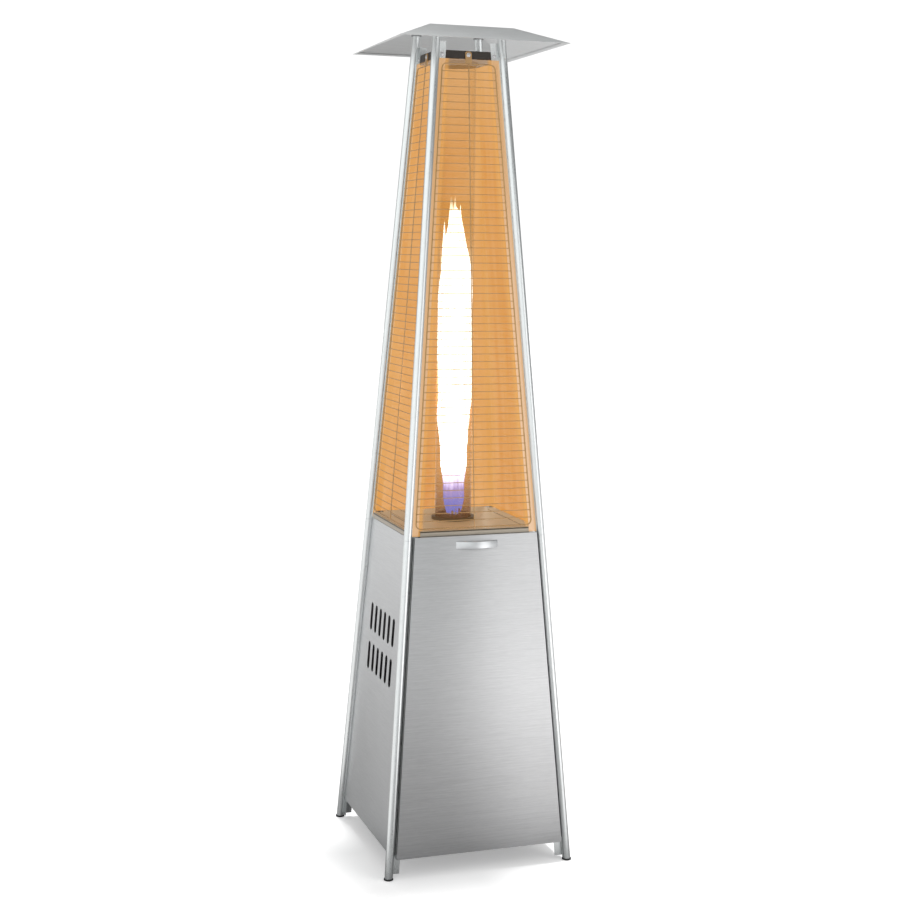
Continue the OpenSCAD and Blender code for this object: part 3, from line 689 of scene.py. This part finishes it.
screw_recipe = Recipe("screws_on_points", Shape=bpy.types.Object, Seed=int)
shape = screw_recipe.node("GeometryNodeObjectInfo", {}, Object=screw_recipe.input("Shape"), out=4)
outward = screw_recipe.node("GeometryNodeInputNamedAttribute", {"data_type": "FLOAT_VECTOR"},
                            "outward")
spin = screw_recipe.node("FunctionNodeRandomValue", {"data_type": "FLOAT"}, out=1,
                         Seed=screw_recipe.input("Seed"))
facing = screw_recipe.node("FunctionNodeAlignRotationToVector", {"axis": "Z"}, Vector=outward)
about = screw_recipe.node("ShaderNodeCombineXYZ", {}, 0.0, 0.0, spin * 6.28)
turned = screw_recipe.node("FunctionNodeRotateRotation", {"rotation_space": "LOCAL"},
                           Rotation=facing,
                           Rotate_By=screw_recipe.node("FunctionNodeEulerToRotation", {}, about))
screw_recipe.end(screw_recipe.node("GeometryNodeInstanceOnPoints", {},
                                   Points=screw_recipe.input("Geometry"), Instance=shape,
                                   Rotation=turned))


def points_mesh(name, places):
    """A mesh of loose points, each with the direction that its screw faces."""
    mesh = bpy.data.meshes.new(name)
    mesh.from_pydata([place for place, _ in places], [], [])
    outward = mesh.attributes.new("outward", "FLOAT_VECTOR", "POINT")
    for i, (_, direction) in enumerate(places):
        outward.data[i].vector = direction
    return mesh


def screws(name, places, body="root", replaces=(), seed=3):
    sample = bpy.data.objects.new("screw_head", solid_mesh("screw_head", screw_head))
    piece = screw_recipe.make(name, points_mesh(name, places), screw_finish, Shape=sample,
                              Seed=seed)
    bpy.data.objects.remove(sample)
    settle(piece, screw_finish, body, replaces)
    return smooth(piece, 40)


FRAME_SCREW_Z = (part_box("top_frame")[0].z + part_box("top_frame")[1].z) / 2
FIN_FRONT = -0.0065
TAB_FRONT = FIN_FRONT + 0.001
SCREW_INSET = 0.022


def face_normal(side):
    return on_face(side, 0, 1, 1) - on_face(side, 0, 1, 0)


frame_screw_places = []
for side in range(4):
    reach = half_at(FRAME_SCREW_Z) - SCREW_INSET
    for s, n in ((-reach, FIN_FRONT), (0, TAB_FRONT), (reach, FIN_FRONT)):
        frame_screw_places.append((on_face(side, s, FRAME_SCREW_Z, n), face_normal(side)))
screws("frame_screw_heads", frame_screw_places, replaces=["frame_screws"])

# ---- Burner tray
# Stainless deck over the control box, folded down on four sides with its corners cut away
# round the legs, with a hole for the burner and two long slots. Its warm tan is partly heat tone
# and partly a painted reflection of the amber glow, and a painted shadow line runs along the top
# of the folds.

TRAY_FASCIA_Z = 0.9262
TRAY_DECK_Z = 0.9312
TRAY_EDGE = 0.0007

tray_finish = Finish("tray_heat_toned_steel")
tray_z = tray_finish.axis("Z")
tray_heat = tray_finish.noise(9.0)
tray_brush = tray_finish.noise(700.0, (0.04, 1, 1))
# Just under the deck's edge the ramp goes near-black: a painted shadow line along the folds. The
# deck's tan is partly heat tone and partly a painted reflection of the amber glow.
tray_finish.set(Base_Color=tray_finish.blend(
    tray_finish.between(tray_z, TRAY_DECK_Z, TRAY_DECK_Z + TRAY_EDGE),
    tray_finish.ramp(tray_finish.along(tray_z, TRAY_FASCIA_Z, TRAY_DECK_Z),
                     (0.0, (0.42, 0.37, 0.30)), (0.30, (0.34, 0.30, 0.24)),
                     (0.42, (0.05, 0.035, 0.02)), (1.0, (0.06, 0.04, 0.02))),
    tray_finish.blend(tray_heat * 0.6 + tray_brush * 0.4, (0.62, 0.47, 0.28),
                      (0.78, 0.62, 0.41))),
    Roughness=0.30 + tray_brush * 0.12, Metallic=0.35)
tray_finish.bump(tray_brush, 0.00003)
coat(tray_finish, "burner_tray")

# ---- Controls
# Behind the door: a push-and-turn knob with a ribbed grip, a sprung igniter button in its
# threaded housing, the brass valve with its inlet, and the tip-over switch.

black_finish = Finish("moulded_black_plastic")
black_grain = black_finish.noise(900.0)
black_finish.set(Base_Color=black_finish.blend(black_grain, (0.015, 0.015, 0.016),
                                               (0.035, 0.035, 0.037)),
                 Roughness=0.42 + black_grain * 0.2)
black_finish.bump(black_grain, 0.0001, 0.5)
coat(black_finish, "door_magnet", "igniter_housing", "tilt_switch", "ignition_lead")

brass_finish = Finish("turned_brass")
turning = brass_finish.noise(500.0, (1, 0.05, 1))
brass_finish.set(Base_Color=brass_finish.blend(turning, (0.62, 0.44, 0.18), (0.80, 0.62, 0.30)),
                 Roughness=0.24 + turning * 0.14, Metallic=1.0)
brass_finish.bump(turning, 0.00004)
coat(brass_finish, "gas_valve", "valve_plunger", "gas_inlet", "burner_jet", "pilot_burner")

button_finish = Finish("red_button_plastic")
button_haze = button_finish.noise(200.0)
button_finish.set(Base_Color=button_finish.blend(button_haze, (0.42, 0.02, 0.015),
                                                 (0.60, 0.04, 0.03)),
                  Roughness=0.18 + button_haze * 0.1)
button_finish.bump(button_haze, 0.00003)
coat(button_finish, "igniter_button")

knob_low, knob_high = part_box("control_knob")
KNOB_CENTRE = Vector(((knob_low.x + knob_high.x) / 2, 0, (knob_low.z + knob_high.z) / 2))
KNOB_RADIUS = (knob_high.x - knob_low.x) / 2
KNOB_FRONT = knob_low.y
KNOB_DEPTH = 0.022
STEM_RADIUS = 0.003
KNOB_STEM_END = knob_high.y
KNOB_RIBS = 18


def knob(work):
    """Skirt, ribbed body and a stem, turned about Y; the ribs are waves in the body's radius."""
    turns = KNOB_RIBS * 6
    profile = [(0.0, 0.0, 0), (0.012, 0.0, 0), (0.0142, 0.0008, 1), (0.0152, 0.003, 1),
               (0.016, 0.014, 1), (0.017, 0.0165, 0), (0.0212, 0.018, 0),
               (KNOB_RADIUS, 0.0195, 0), (KNOB_RADIUS, 0.0215, 0),
               (KNOB_RADIUS - 0.0006, KNOB_DEPTH, 0), (STEM_RADIUS, KNOB_DEPTH, 0),
               (STEM_RADIUS, KNOB_STEM_END - KNOB_FRONT, 0),
               (0.0, KNOB_STEM_END - KNOB_FRONT, 0)]
    rings = []
    for radius, back, ribbed in profile:
        ring = []
        for i in range(turns if radius else 1):
            turn = 2 * math.pi * i / turns
            wave = 0.0007 * ribbed * (1 - abs(math.sin(turn * KNOB_RIBS / 2)) ** 4)
            ring.append(work.verts.new(KNOB_CENTRE + Vector((
                (radius - wave) * math.cos(turn), KNOB_FRONT + back,
                (radius - wave) * math.sin(turn)))))
        rings.append(ring)
    join_rings(work, rings, turns)


def knob_pointer(work):
    """A raised white line that shows the knob's setting."""
    half, low, high = 0.0008, 0.004, 0.0115
    block = [work.verts.new(KNOB_CENTRE + Vector((x, y, z)))
             for y in (KNOB_FRONT - 0.0004, KNOB_FRONT + 0.0004)
             for x, z in ((-half, low), (half, low), (half, high), (-half, high))]
    for face in ((0, 1, 2, 3), (7, 6, 5, 4), (0, 4, 5, 1), (1, 5, 6, 2), (2, 6, 7, 3),
                 (3, 7, 4, 0)):
        work.faces.new([block[i] for i in face])


ceramic_finish = Finish("white_glazed_ceramic")
glaze = ceramic_finish.noise(250.0)
ceramic_finish.set(Base_Color=ceramic_finish.blend(glaze, (0.78, 0.77, 0.73), (0.88, 0.87, 0.84)),
                   Roughness=0.15 + glaze * 0.1)
ceramic_finish.bump(glaze, 0.00003)
coat(ceramic_finish, "spark_electrode")
smooth(new_piece("ribbed_control_knob", knob, black_finish, "control_knob",
                 ["control_knob"]), 45)
new_piece("knob_pointer", knob_pointer, ceramic_finish, "control_knob")

# ---- Burner
# Drawn aluminium supply pipe, copper thermocouple line, and a pressed steel burner cup under
# its perforated flame grid, both blued by the heat.

pipe_finish = brushed("drawn_aluminium", (0.62, 0.63, 0.64), (0.80, 0.81, 0.82), (1, 0.03, 1), 0.3)
coat(pipe_finish, "supply_pipe")

copper_finish = Finish("drawn_copper")
copper_tarnish = copper_finish.noise(150.0)
copper_finish.set(Base_Color=copper_finish.blend(copper_tarnish, (0.35, 0.16, 0.09),
                                                 (0.72, 0.38, 0.24)),
                  Roughness=0.3 + copper_tarnish * 0.15, Metallic=1.0)
copper_finish.bump(copper_tarnish, 0.00003)
coat(copper_finish, "thermocouple")

burner_finish = Finish("heat_blued_steel")
heat = burner_finish.noise(25.0)
burner_finish.set(Base_Color=burner_finish.ramp(heat, (0.25, (0.05, 0.05, 0.09)),
                                                (0.5, (0.16, 0.12, 0.12)),
                                                (0.75, (0.30, 0.22, 0.14))),
                  Roughness=0.38 + heat * 0.2, Metallic=0.9)
burner_finish.bump(heat, 0.0001)
coat(burner_finish, "burner_cup", "flame_grid")

# ---- Flame tube
# Heat-proof glass with fire-polished ends, standing in a black enamelled ring. Its amber colour
# is painted light from the flame, and just above the ring the glass is smoked brown.

seal_finish = Finish("black_enamel")
enamel = seal_finish.noise(120.0)
seal_finish.set(Base_Color=seal_finish.blend(enamel, (0.012, 0.010, 0.009), (0.03, 0.024, 0.02)),
                Roughness=0.25 + enamel * 0.15)
seal_finish.bump(enamel, 0.00006)
coat(seal_finish, "lower_tube_ring")

tube_low, tube_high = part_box("glass_tube")
TUBE_RADIUS = (tube_high.x - tube_low.x) / 2
TUBE_WALL = 0.0025
TUBE_POLISH = 0.0008


def tube(work):
    inner = TUBE_RADIUS - TUBE_WALL
    low, high = tube_low.z, tube_high.z
    rows = [low + TUBE_POLISH + (high - low - 2 * TUBE_POLISH) * i / 24 for i in range(25)]
    profile = ([(TUBE_RADIUS, z) for z in rows]
               + [(TUBE_RADIUS - TUBE_POLISH, high), (inner + TUBE_POLISH, high)]
               + [(inner, z) for z in reversed(rows)]
               + [(inner + TUBE_POLISH, low), (TUBE_RADIUS - TUBE_POLISH, low),
                  (TUBE_RADIUS, rows[0])])
    lathe(work, profile, Vector((0, 0, 0)), 96)


glass_finish = Finish("flame_tube_glass")
height = glass_finish.axis("Z")
smoke = 1 - glass_finish.between(height, tube_low.z + 0.02, tube_low.z + 0.16)
rim_view = glass_finish.node("ShaderNodeLayerWeight", {}, Blend=0.35, out=1)
ripple = glass_finish.noise(14.0, (1, 1, 0.12))
# The amber base colour is painted flame light; the brown towards the ring is the smoke.
glass_finish.set(Base_Color=glass_finish.blend(smoke, (0.50, 0.22, 0.06), (0.24, 0.085, 0.05)),
                 Roughness=0.03 + ripple * 0.05,
                 Alpha=0.05 + rim_view ** 2.0 * 0.35 + smoke * 0.24)
glass_finish.bump(ripple, 0.0004, 0.4)
smooth(new_piece("glass_flame_tube", tube, glass_finish,
                 replaces=["glass_tube"]), 60)

# ---- Flame
# The heater is alight: a blue root over the burner, a tall body that looks white with loose
# tongues above it, and a warm lamp inside it that lights the tray. It is light and not a
# solid, so it has no CAD node.

FLAME_ROOT = 0.946
FLAME_REACH = 0.0478
CORE = ((0.018, FLAME_ROOT), (0.024, 0.965), (0.029, 0.99), (0.029, 1.03), (0.034, 1.08),
        (0.036, 1.12), (0.041, 1.18), (0.0465, 1.26), (0.0474, 1.42), (0.0472, 1.56),
        (0.043, 1.61), (0.035, 1.66), (0.027, 1.71), (0.020, 1.75), (0.010, 1.785), (0.0, 1.80))
VEIL = ((0.030, 1.14), (0.0440, 1.22), (FLAME_REACH, 1.32), (FLAME_REACH, 1.60),
        (0.0474, 1.82))
TONGUES = ((-0.012, 0.004, 0.013, 1.60, 1.845), (0.011, -0.003, 0.010, 1.60, 1.806),
           (-0.031, 0.008, 0.008, 1.55, 1.76), (0.002, 0.016, 0.011, 1.60, 1.83),
           (0.028, -0.006, 0.010, 1.52, 1.70), (0.004, -0.018, 0.010, 1.60, 1.79))


def sway(x, y, z, amount):
    """A slow wander of the flame's edge with height and round it."""
    turn = math.atan2(y, x)
    wave = (math.sin(3 * turn + z * 21) + 0.6 * math.sin(5 * turn - z * 37 + 1.3)
            + 0.4 * math.sin(9 * turn + z * 63 + 0.4))
    return 1 + amount * wave


def finer(profile, step):
    """The same profile with more rows, no further apart than step."""
    rows = []
    for (r0, z0), (r1, z1) in zip(profile, profile[1:]):
        steps = max(1, round((z1 - z0) / step))
        rows += [(r0 + (r1 - r0) * i / steps, z0 + (z1 - z0) * i / steps) for i in range(steps)]
    return [*rows, profile[-1]]


def ruffle(work, amount):
    """Sways the flame's outline, inside its full reach."""
    for vert in work.verts:
        flat = Vector((vert.co.x, vert.co.y))
        if flat.length > 0.0005:
            flat *= min(sway(vert.co.x, vert.co.y, vert.co.z, amount), FLAME_REACH / flat.length)
            vert.co.x, vert.co.y = flat


def flame_core(work):
    lathe(work, [(0, FLAME_ROOT), *finer(CORE, 0.010)], Vector((0, 0, 0)), 64)
    ruffle(work, 0.055)
    for x, y, radius, low, high in TONGUES:
        tongue = [(radius * math.cos(math.pi / 2 * (i / 24) ** 1.3), low + (high - low) * i / 24)
                  for i in range(24)]
        base = Vector((x, y, 0))
        lathe(work, [(0, low), *tongue, (0, high)], base, 20)


def flame_veil(work):
    lathe(work, finer(VEIL, 0.012), Vector((0, 0, 0)), 64)


def pass_light(piece):
    """The flame and its glow neither cast shadows nor show in reflections."""
    piece.visible_diffuse = piece.visible_glossy = piece.visible_shadow = False


flame_finish = Finish("flame_light")
flame_z = flame_finish.axis("Z")
licks = flame_finish.noise(30.0, (1, 1, 0.13), 4.0)
flame_finish.set(Base_Color=(0, 0, 0, 1), Roughness=1.0,
                 Emission_Color=flame_finish.ramp(
                     flame_finish.along(flame_z + licks * 0.12, 1.00, 2.00),
                     (0.0, (0.03, 0.07, 0.28)), (0.045, (0.05, 0.075, 0.26)),
                     (0.075, (0.13, 0.11, 0.24)), (0.11, (0.50, 0.46, 0.66)),
                     (0.15, (1.0, 0.98, 0.93)), (0.68, (1.0, 0.98, 0.90)),
                     (0.88, (1.0, 0.86, 0.55))),
                 Emission_Strength=4.0,
                 Alpha=1 - flame_finish.between(flame_z + licks * 0.16, 1.80, 1.93))
pass_light(smooth(new_piece("flame_core", flame_core, flame_finish), 180))

LAMP_WATTS = 3.0
LAMP_Z = 1.30
flame_lamp = bpy.data.objects.new("flame_lamp", bpy.data.lights.new("flame_lamp", "POINT"))
flame_lamp.data.energy = LAMP_WATTS
flame_lamp.data.color = (1.0, 0.62, 0.32)
flame_lamp.data.shadow_soft_size = 0.04
flame_lamp.location = (0, 0, LAMP_Z)
flame_lamp.visible_camera = flame_lamp.visible_glossy = False
scene.collection.objects.link(flame_lamp)

veil_finish = Finish("flame_veil_light")
veil_z = veil_finish.axis("Z")
streaks = veil_finish.noise(46.0, (1, 1, 0.10), 3.0)
veil_finish.set(Base_Color=(0, 0, 0, 1), Roughness=1.0,
                Emission_Color=veil_finish.blend(streaks, (1.0, 0.80, 0.45), (1.0, 0.95, 0.80)),
                Emission_Strength=2.2,
                Alpha=veil_finish.between(streaks, 0.34, 0.66) * 0.75
                * veil_finish.between(veil_z, 1.14, 1.24)
                * (1 - veil_finish.between(veil_z + streaks * 0.16, 1.60, 1.82)))
pass_light(smooth(new_piece("flame_veil", flame_veil, veil_finish), 180))

# ---- Wire guards
# Four welded panels: a bent frame wire with rounded corners, one upright in the middle, and
# cross wires at an even pitch on the outside, hung by a tab from the top frame.

GUARD_LOW_Z = 0.936
GUARD_TOP_Z = 2.175
GUARD_INSET = 0.023
GUARD_CORNER = 0.013
FRAME_WIRE = 0.0015
CROSS_WIRE = 0.0010
GUARD_N = FIN_FRONT + FRAME_WIRE
CROSS_ROWS = 60

guard_recipe = Recipe("welded_guard", Rows=int, Height=float, Low_Width=float, Top_Width=float,
                      Frame_Radius=float, Cross_Radius=float, Corner=float)
wire_section = guard_recipe.node("GeometryNodeCurvePrimitiveCircle", {}, Resolution=8,
                                 Radius=guard_recipe.input("Frame_Radius"))
loop = guard_recipe.node("GeometryNodeCurvePrimitiveQuadrilateral", {"mode": "TRAPEZOID"},
                         Height=guard_recipe.input("Height"),
                         Bottom_Width=guard_recipe.input("Low_Width"),
                         Top_Width=guard_recipe.input("Top_Width"), Offset=0.0)
bent = guard_recipe.node("GeometryNodeFilletCurve", {"mode": "POLY"}, Curve=loop,
                         Radius=guard_recipe.input("Corner"), Limit_Radius=True, Count=6)
frame_wire = guard_recipe.node("GeometryNodeCurveToMesh", {}, Curve=bent,
                               Profile_Curve=wire_section)
rows = guard_recipe.input("Rows")
pitch = guard_recipe.input("Height") / (rows + 1)
ladder = guard_recipe.node("GeometryNodeMeshLine", {"mode": "OFFSET"}, Count=rows,
                           Start_Location=guard_recipe.node(
                               "ShaderNodeCombineXYZ", {}, 0.0,
                               guard_recipe.input("Height") * -0.5 + pitch,
                               guard_recipe.input("Frame_Radius")
                               + guard_recipe.input("Cross_Radius") * 0.7),
                           Offset=guard_recipe.node("ShaderNodeCombineXYZ", {}, 0.0, pitch, 0.0))
step = (guard_recipe.node("GeometryNodeInputIndex", {}) + 1) / (rows + 1)
row_width = (guard_recipe.input("Low_Width") * (1 - step)
             + guard_recipe.input("Top_Width") * step)
cross_wire = guard_recipe.node("GeometryNodeMeshCylinder", {}, Vertices=8,
                               Radius=guard_recipe.input("Cross_Radius"), Depth=1.0)
lying = guard_recipe.node("FunctionNodeEulerToRotation", {}, (0, math.pi / 2, 0))
crossing = guard_recipe.node("GeometryNodeInstanceOnPoints", {}, Points=ladder,
                             Instance=cross_wire, Rotation=lying,
                             Scale=guard_recipe.node("ShaderNodeCombineXYZ", {}, 1.0, 1.0,
                                                     row_width))
upright = guard_recipe.node("GeometryNodeTransform", {}, Geometry=guard_recipe.node(
    "GeometryNodeMeshCylinder", {}, Vertices=8, Radius=guard_recipe.input("Frame_Radius"),
    Depth=guard_recipe.input("Height")), Rotation=(math.pi / 2, 0, 0))
guard_recipe.end(guard_recipe.join(frame_wire, crossing, upright))

wire_finish = Finish("guard_wire_steel")
wire_tone = wire_finish.noise(30.0)
wire_finish.set(Base_Color=wire_finish.blend(wire_tone, (0.40, 0.23, 0.09), (0.58, 0.36, 0.17)),
                Roughness=0.36 + wire_tone * 0.12, Metallic=0.45)
wire_finish.bump(wire_tone, 0.00003)

guard_height = (GUARD_TOP_Z - GUARD_LOW_Z) / math.cos(LEAN) - 2 * FRAME_WIRE
guard_middle = (GUARD_TOP_Z + GUARD_LOW_Z) / 2
for side, word in enumerate(("front", "right", "rear", "left")):
    guard = guard_recipe.make(f"guard_wires_{word}", bpy.data.meshes.new("empty"), wire_finish,
                              Rows=CROSS_ROWS, Height=guard_height,
                              Low_Width=2 * (half_at(GUARD_LOW_Z) - GUARD_INSET),
                              Top_Width=2 * (half_at(GUARD_TOP_Z) - GUARD_INSET),
                              Frame_Radius=FRAME_WIRE, Cross_Radius=CROSS_WIRE,
                              Corner=GUARD_CORNER)
    upright_turn = Matrix.Rotation(math.pi / 2 - LEAN, 4, "X")
    guard.data.transform(Matrix.Rotation(side * math.pi / 2, 4, "Z")
                         @ Matrix.Translation(on_face(0, 0, guard_middle, GUARD_N))
                         @ upright_turn)
    settle(guard, wire_finish, replaces=[f"wire_guard_{word}"])
    smooth(guard, 60)


def tabs(work):
    """A flat tab with clipped top corners at the middle of each guard's top wire."""
    top, low, half, clip = FRAME_SCREW_Z + 0.010, GUARD_TOP_Z - 0.003, 0.009, 0.004
    for side in range(4):
        outline = [(-half, low), (half, low), (half, top - clip), (half - clip, top),
                   (clip - half, top), (-half, top - clip)]
        plate(work, outline, side, FIN_FRONT - 0.0015, TAB_FRONT)


smooth(hard_edges(new_piece("guard_tabs", tabs, wire_finish), 0.0004, 2), 50)

# ---- Top frame
# Four straps of near-black steel, bolted behind the leg fins. They tie the legs together
# and carry the guards.

frame_finish = Finish("heat_dark_strap")
strap_mottle = frame_finish.noise(60.0, (0.2, 0.2, 1))
# Near-black, with a faint random mottle in colour and roughness.
frame_finish.set(Base_Color=frame_finish.blend(strap_mottle, (0.035, 0.030, 0.027),
                                               (0.085, 0.072, 0.062)),
                 Roughness=0.42 + strap_mottle * 0.2, Metallic=0.6)
frame_finish.bump(strap_mottle, 0.0001)
coat(frame_finish, "top_frame")

# ---- Reflector
# A satin sheet pressed into four sloping flaps round a flat top, with soft fold lines and a
# hemmed rim.

hood_low, hood_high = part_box("reflector_hood")
RIM_HALF = hood_high.x
FLAT_HALF = 0.1175
HEM_WIDTH = 0.009
HEM_SHEETS = 1.8


def hood(work):
    """The sheet's outside, its hem turned in under the rim, and its inside."""
    slope = (RIM_HALF - FLAT_HALF) / (hood_high.z - hood_low.z)
    across = SHEET * math.sqrt(1 + slope ** 2)
    hem_in = RIM_HALF - HEM_WIDTH
    hem_rise = HEM_WIDTH / slope
    loops = [(FLAT_HALF, hood_high.z), (RIM_HALF, hood_low.z),
             (RIM_HALF - across * HEM_SHEETS, hood_low.z),
             (hem_in - across * HEM_SHEETS, hood_low.z + hem_rise),
             (hem_in - across, hood_low.z + hem_rise),
             (FLAT_HALF + slope * SHEET - across, hood_high.z - SHEET)]
    rings = [[work.verts.new((x * half, y * half, z)) for x, y in
              ((-1, -1), (1, -1), (1, 1), (-1, 1))] for half, z in loops]
    join_rings(work, rings, 4)
    work.faces.new(rings[0])
    work.faces.new(rings[-1][::-1])


hood_finish = brushed("reflector_satin_sheet", (0.70, 0.71, 0.71), (0.80, 0.81, 0.81),
                      (0.04, 1, 1), 0.34)
hood_piece = new_piece("reflector_sheet_hood", hood, hood_finish,
                       replaces=["reflector_hood"])
smooth(hard_edges(hood_piece, 0.0004, 2, 15), 40)

# ---- Warm light in the guards
# With the flame lit, the air and the steel inside the guards glow amber. See-through panes
# just outside and just inside the leg fins stand for that light; each shows from one side.

GLOW_TOP_Z = 2.187
OUTSIDE_GLOW_LOW_Z = 0.918
INSIDE_GLOW_LOW_Z = 0.9325


def panes(gap, n, inward, bottom):
    """A builder of four leaning panes, each made of rows."""
    def build(work):
        rows = 60
        for side in range(4):
            last = None
            for i in range(rows + 1):
                z = bottom + (GLOW_TOP_Z - bottom) * i / rows
                half = half_at(z) - gap
                pair = [work.verts.new(on_face(side, s, z, n)) for s in (-half, half)]
                if last:
                    face = [last[0], last[1], pair[1], pair[0]]
                    work.faces.new(face[::-1] if inward else face)
                last = pair
    return build


def glow(name, gap, n, inward, bottom, shade, alpha):
    """Four panes of light that show only from the side that they face."""
    finish = Finish(name)
    finish.material.use_backface_culling = True
    z = finish.axis("Z")
    x, y = abs(finish.axis("X")), abs(finish.axis("Y"))
    near = finish.node("ShaderNodeMath", {"operation": "MINIMUM"}, x, y)
    far = finish.node("ShaderNodeMath", {"operation": "MAXIMUM"}, x, y)
    facing = 1 - finish.node("ShaderNodeNewGeometry", {}, out=6)
    streak = finish.noise(24.0, (1, 1, 0.08))
    finish.set(Base_Color=(0, 0, 0, 1), Roughness=1.0, Emission_Strength=1.0,
               Emission_Color=shade(finish, z, near, streak),
               Alpha=alpha(finish, z, far - near) * facing)
    finish.shader.inputs["Specular IOR Level"].default_value = 0.0
    mesh = bpy.data.meshes.new(name)
    work = bmesh.new()
    panes(gap, n, inward, bottom)(work)
    work.to_mesh(mesh)
    work.free()
    piece = bpy.data.objects.new(name, mesh)
    scene.collection.objects.link(piece)
    pass_light(settle(piece, finish))


def outer_shade(finish, z, near, streak):
    return finish.blend(streak, (0.77, 0.38, 0.10), (0.81, 0.43, 0.14))


def outer_alpha(finish, z, edge):
    """Thin over the opening and dense over the leg fins."""
    over_fin = 1 - finish.between(edge, 0.030, 0.040)
    rise = finish.between(z, 0.95, 1.25)
    return (rise * 0.22 + 0.10) * (1 - over_fin) + over_fin * 0.72


def inner_shade(finish, z, near, streak):
    """Deepest in the middle of each face, with faint streaks, and paler toward the top."""
    deep = finish.blend(1 - finish.between(near, 0.05, 0.12), (0.74, 0.33, 0.08),
                        (0.68, 0.26, 0.04))
    toned = finish.blend(finish.between(streak, 0.35, 0.65) * 0.4, deep, (0.82, 0.45, 0.16))
    return finish.blend(finish.between(z, 1.9, 2.2), toned, (0.72, 0.38, 0.14))


def inner_alpha(finish, z, edge):
    return 0.95


glow("amber_glow_outside", gap=0.0085, n=FIN_FRONT + 0.0003, inward=False,
     bottom=OUTSIDE_GLOW_LOW_Z, shade=outer_shade, alpha=outer_alpha)
glow("amber_glow_inside", gap=0.0105, n=FIN_FRONT - 0.0040, inward=True,
     bottom=INSIDE_GLOW_LOW_Z, shade=inner_shade, alpha=inner_alpha)
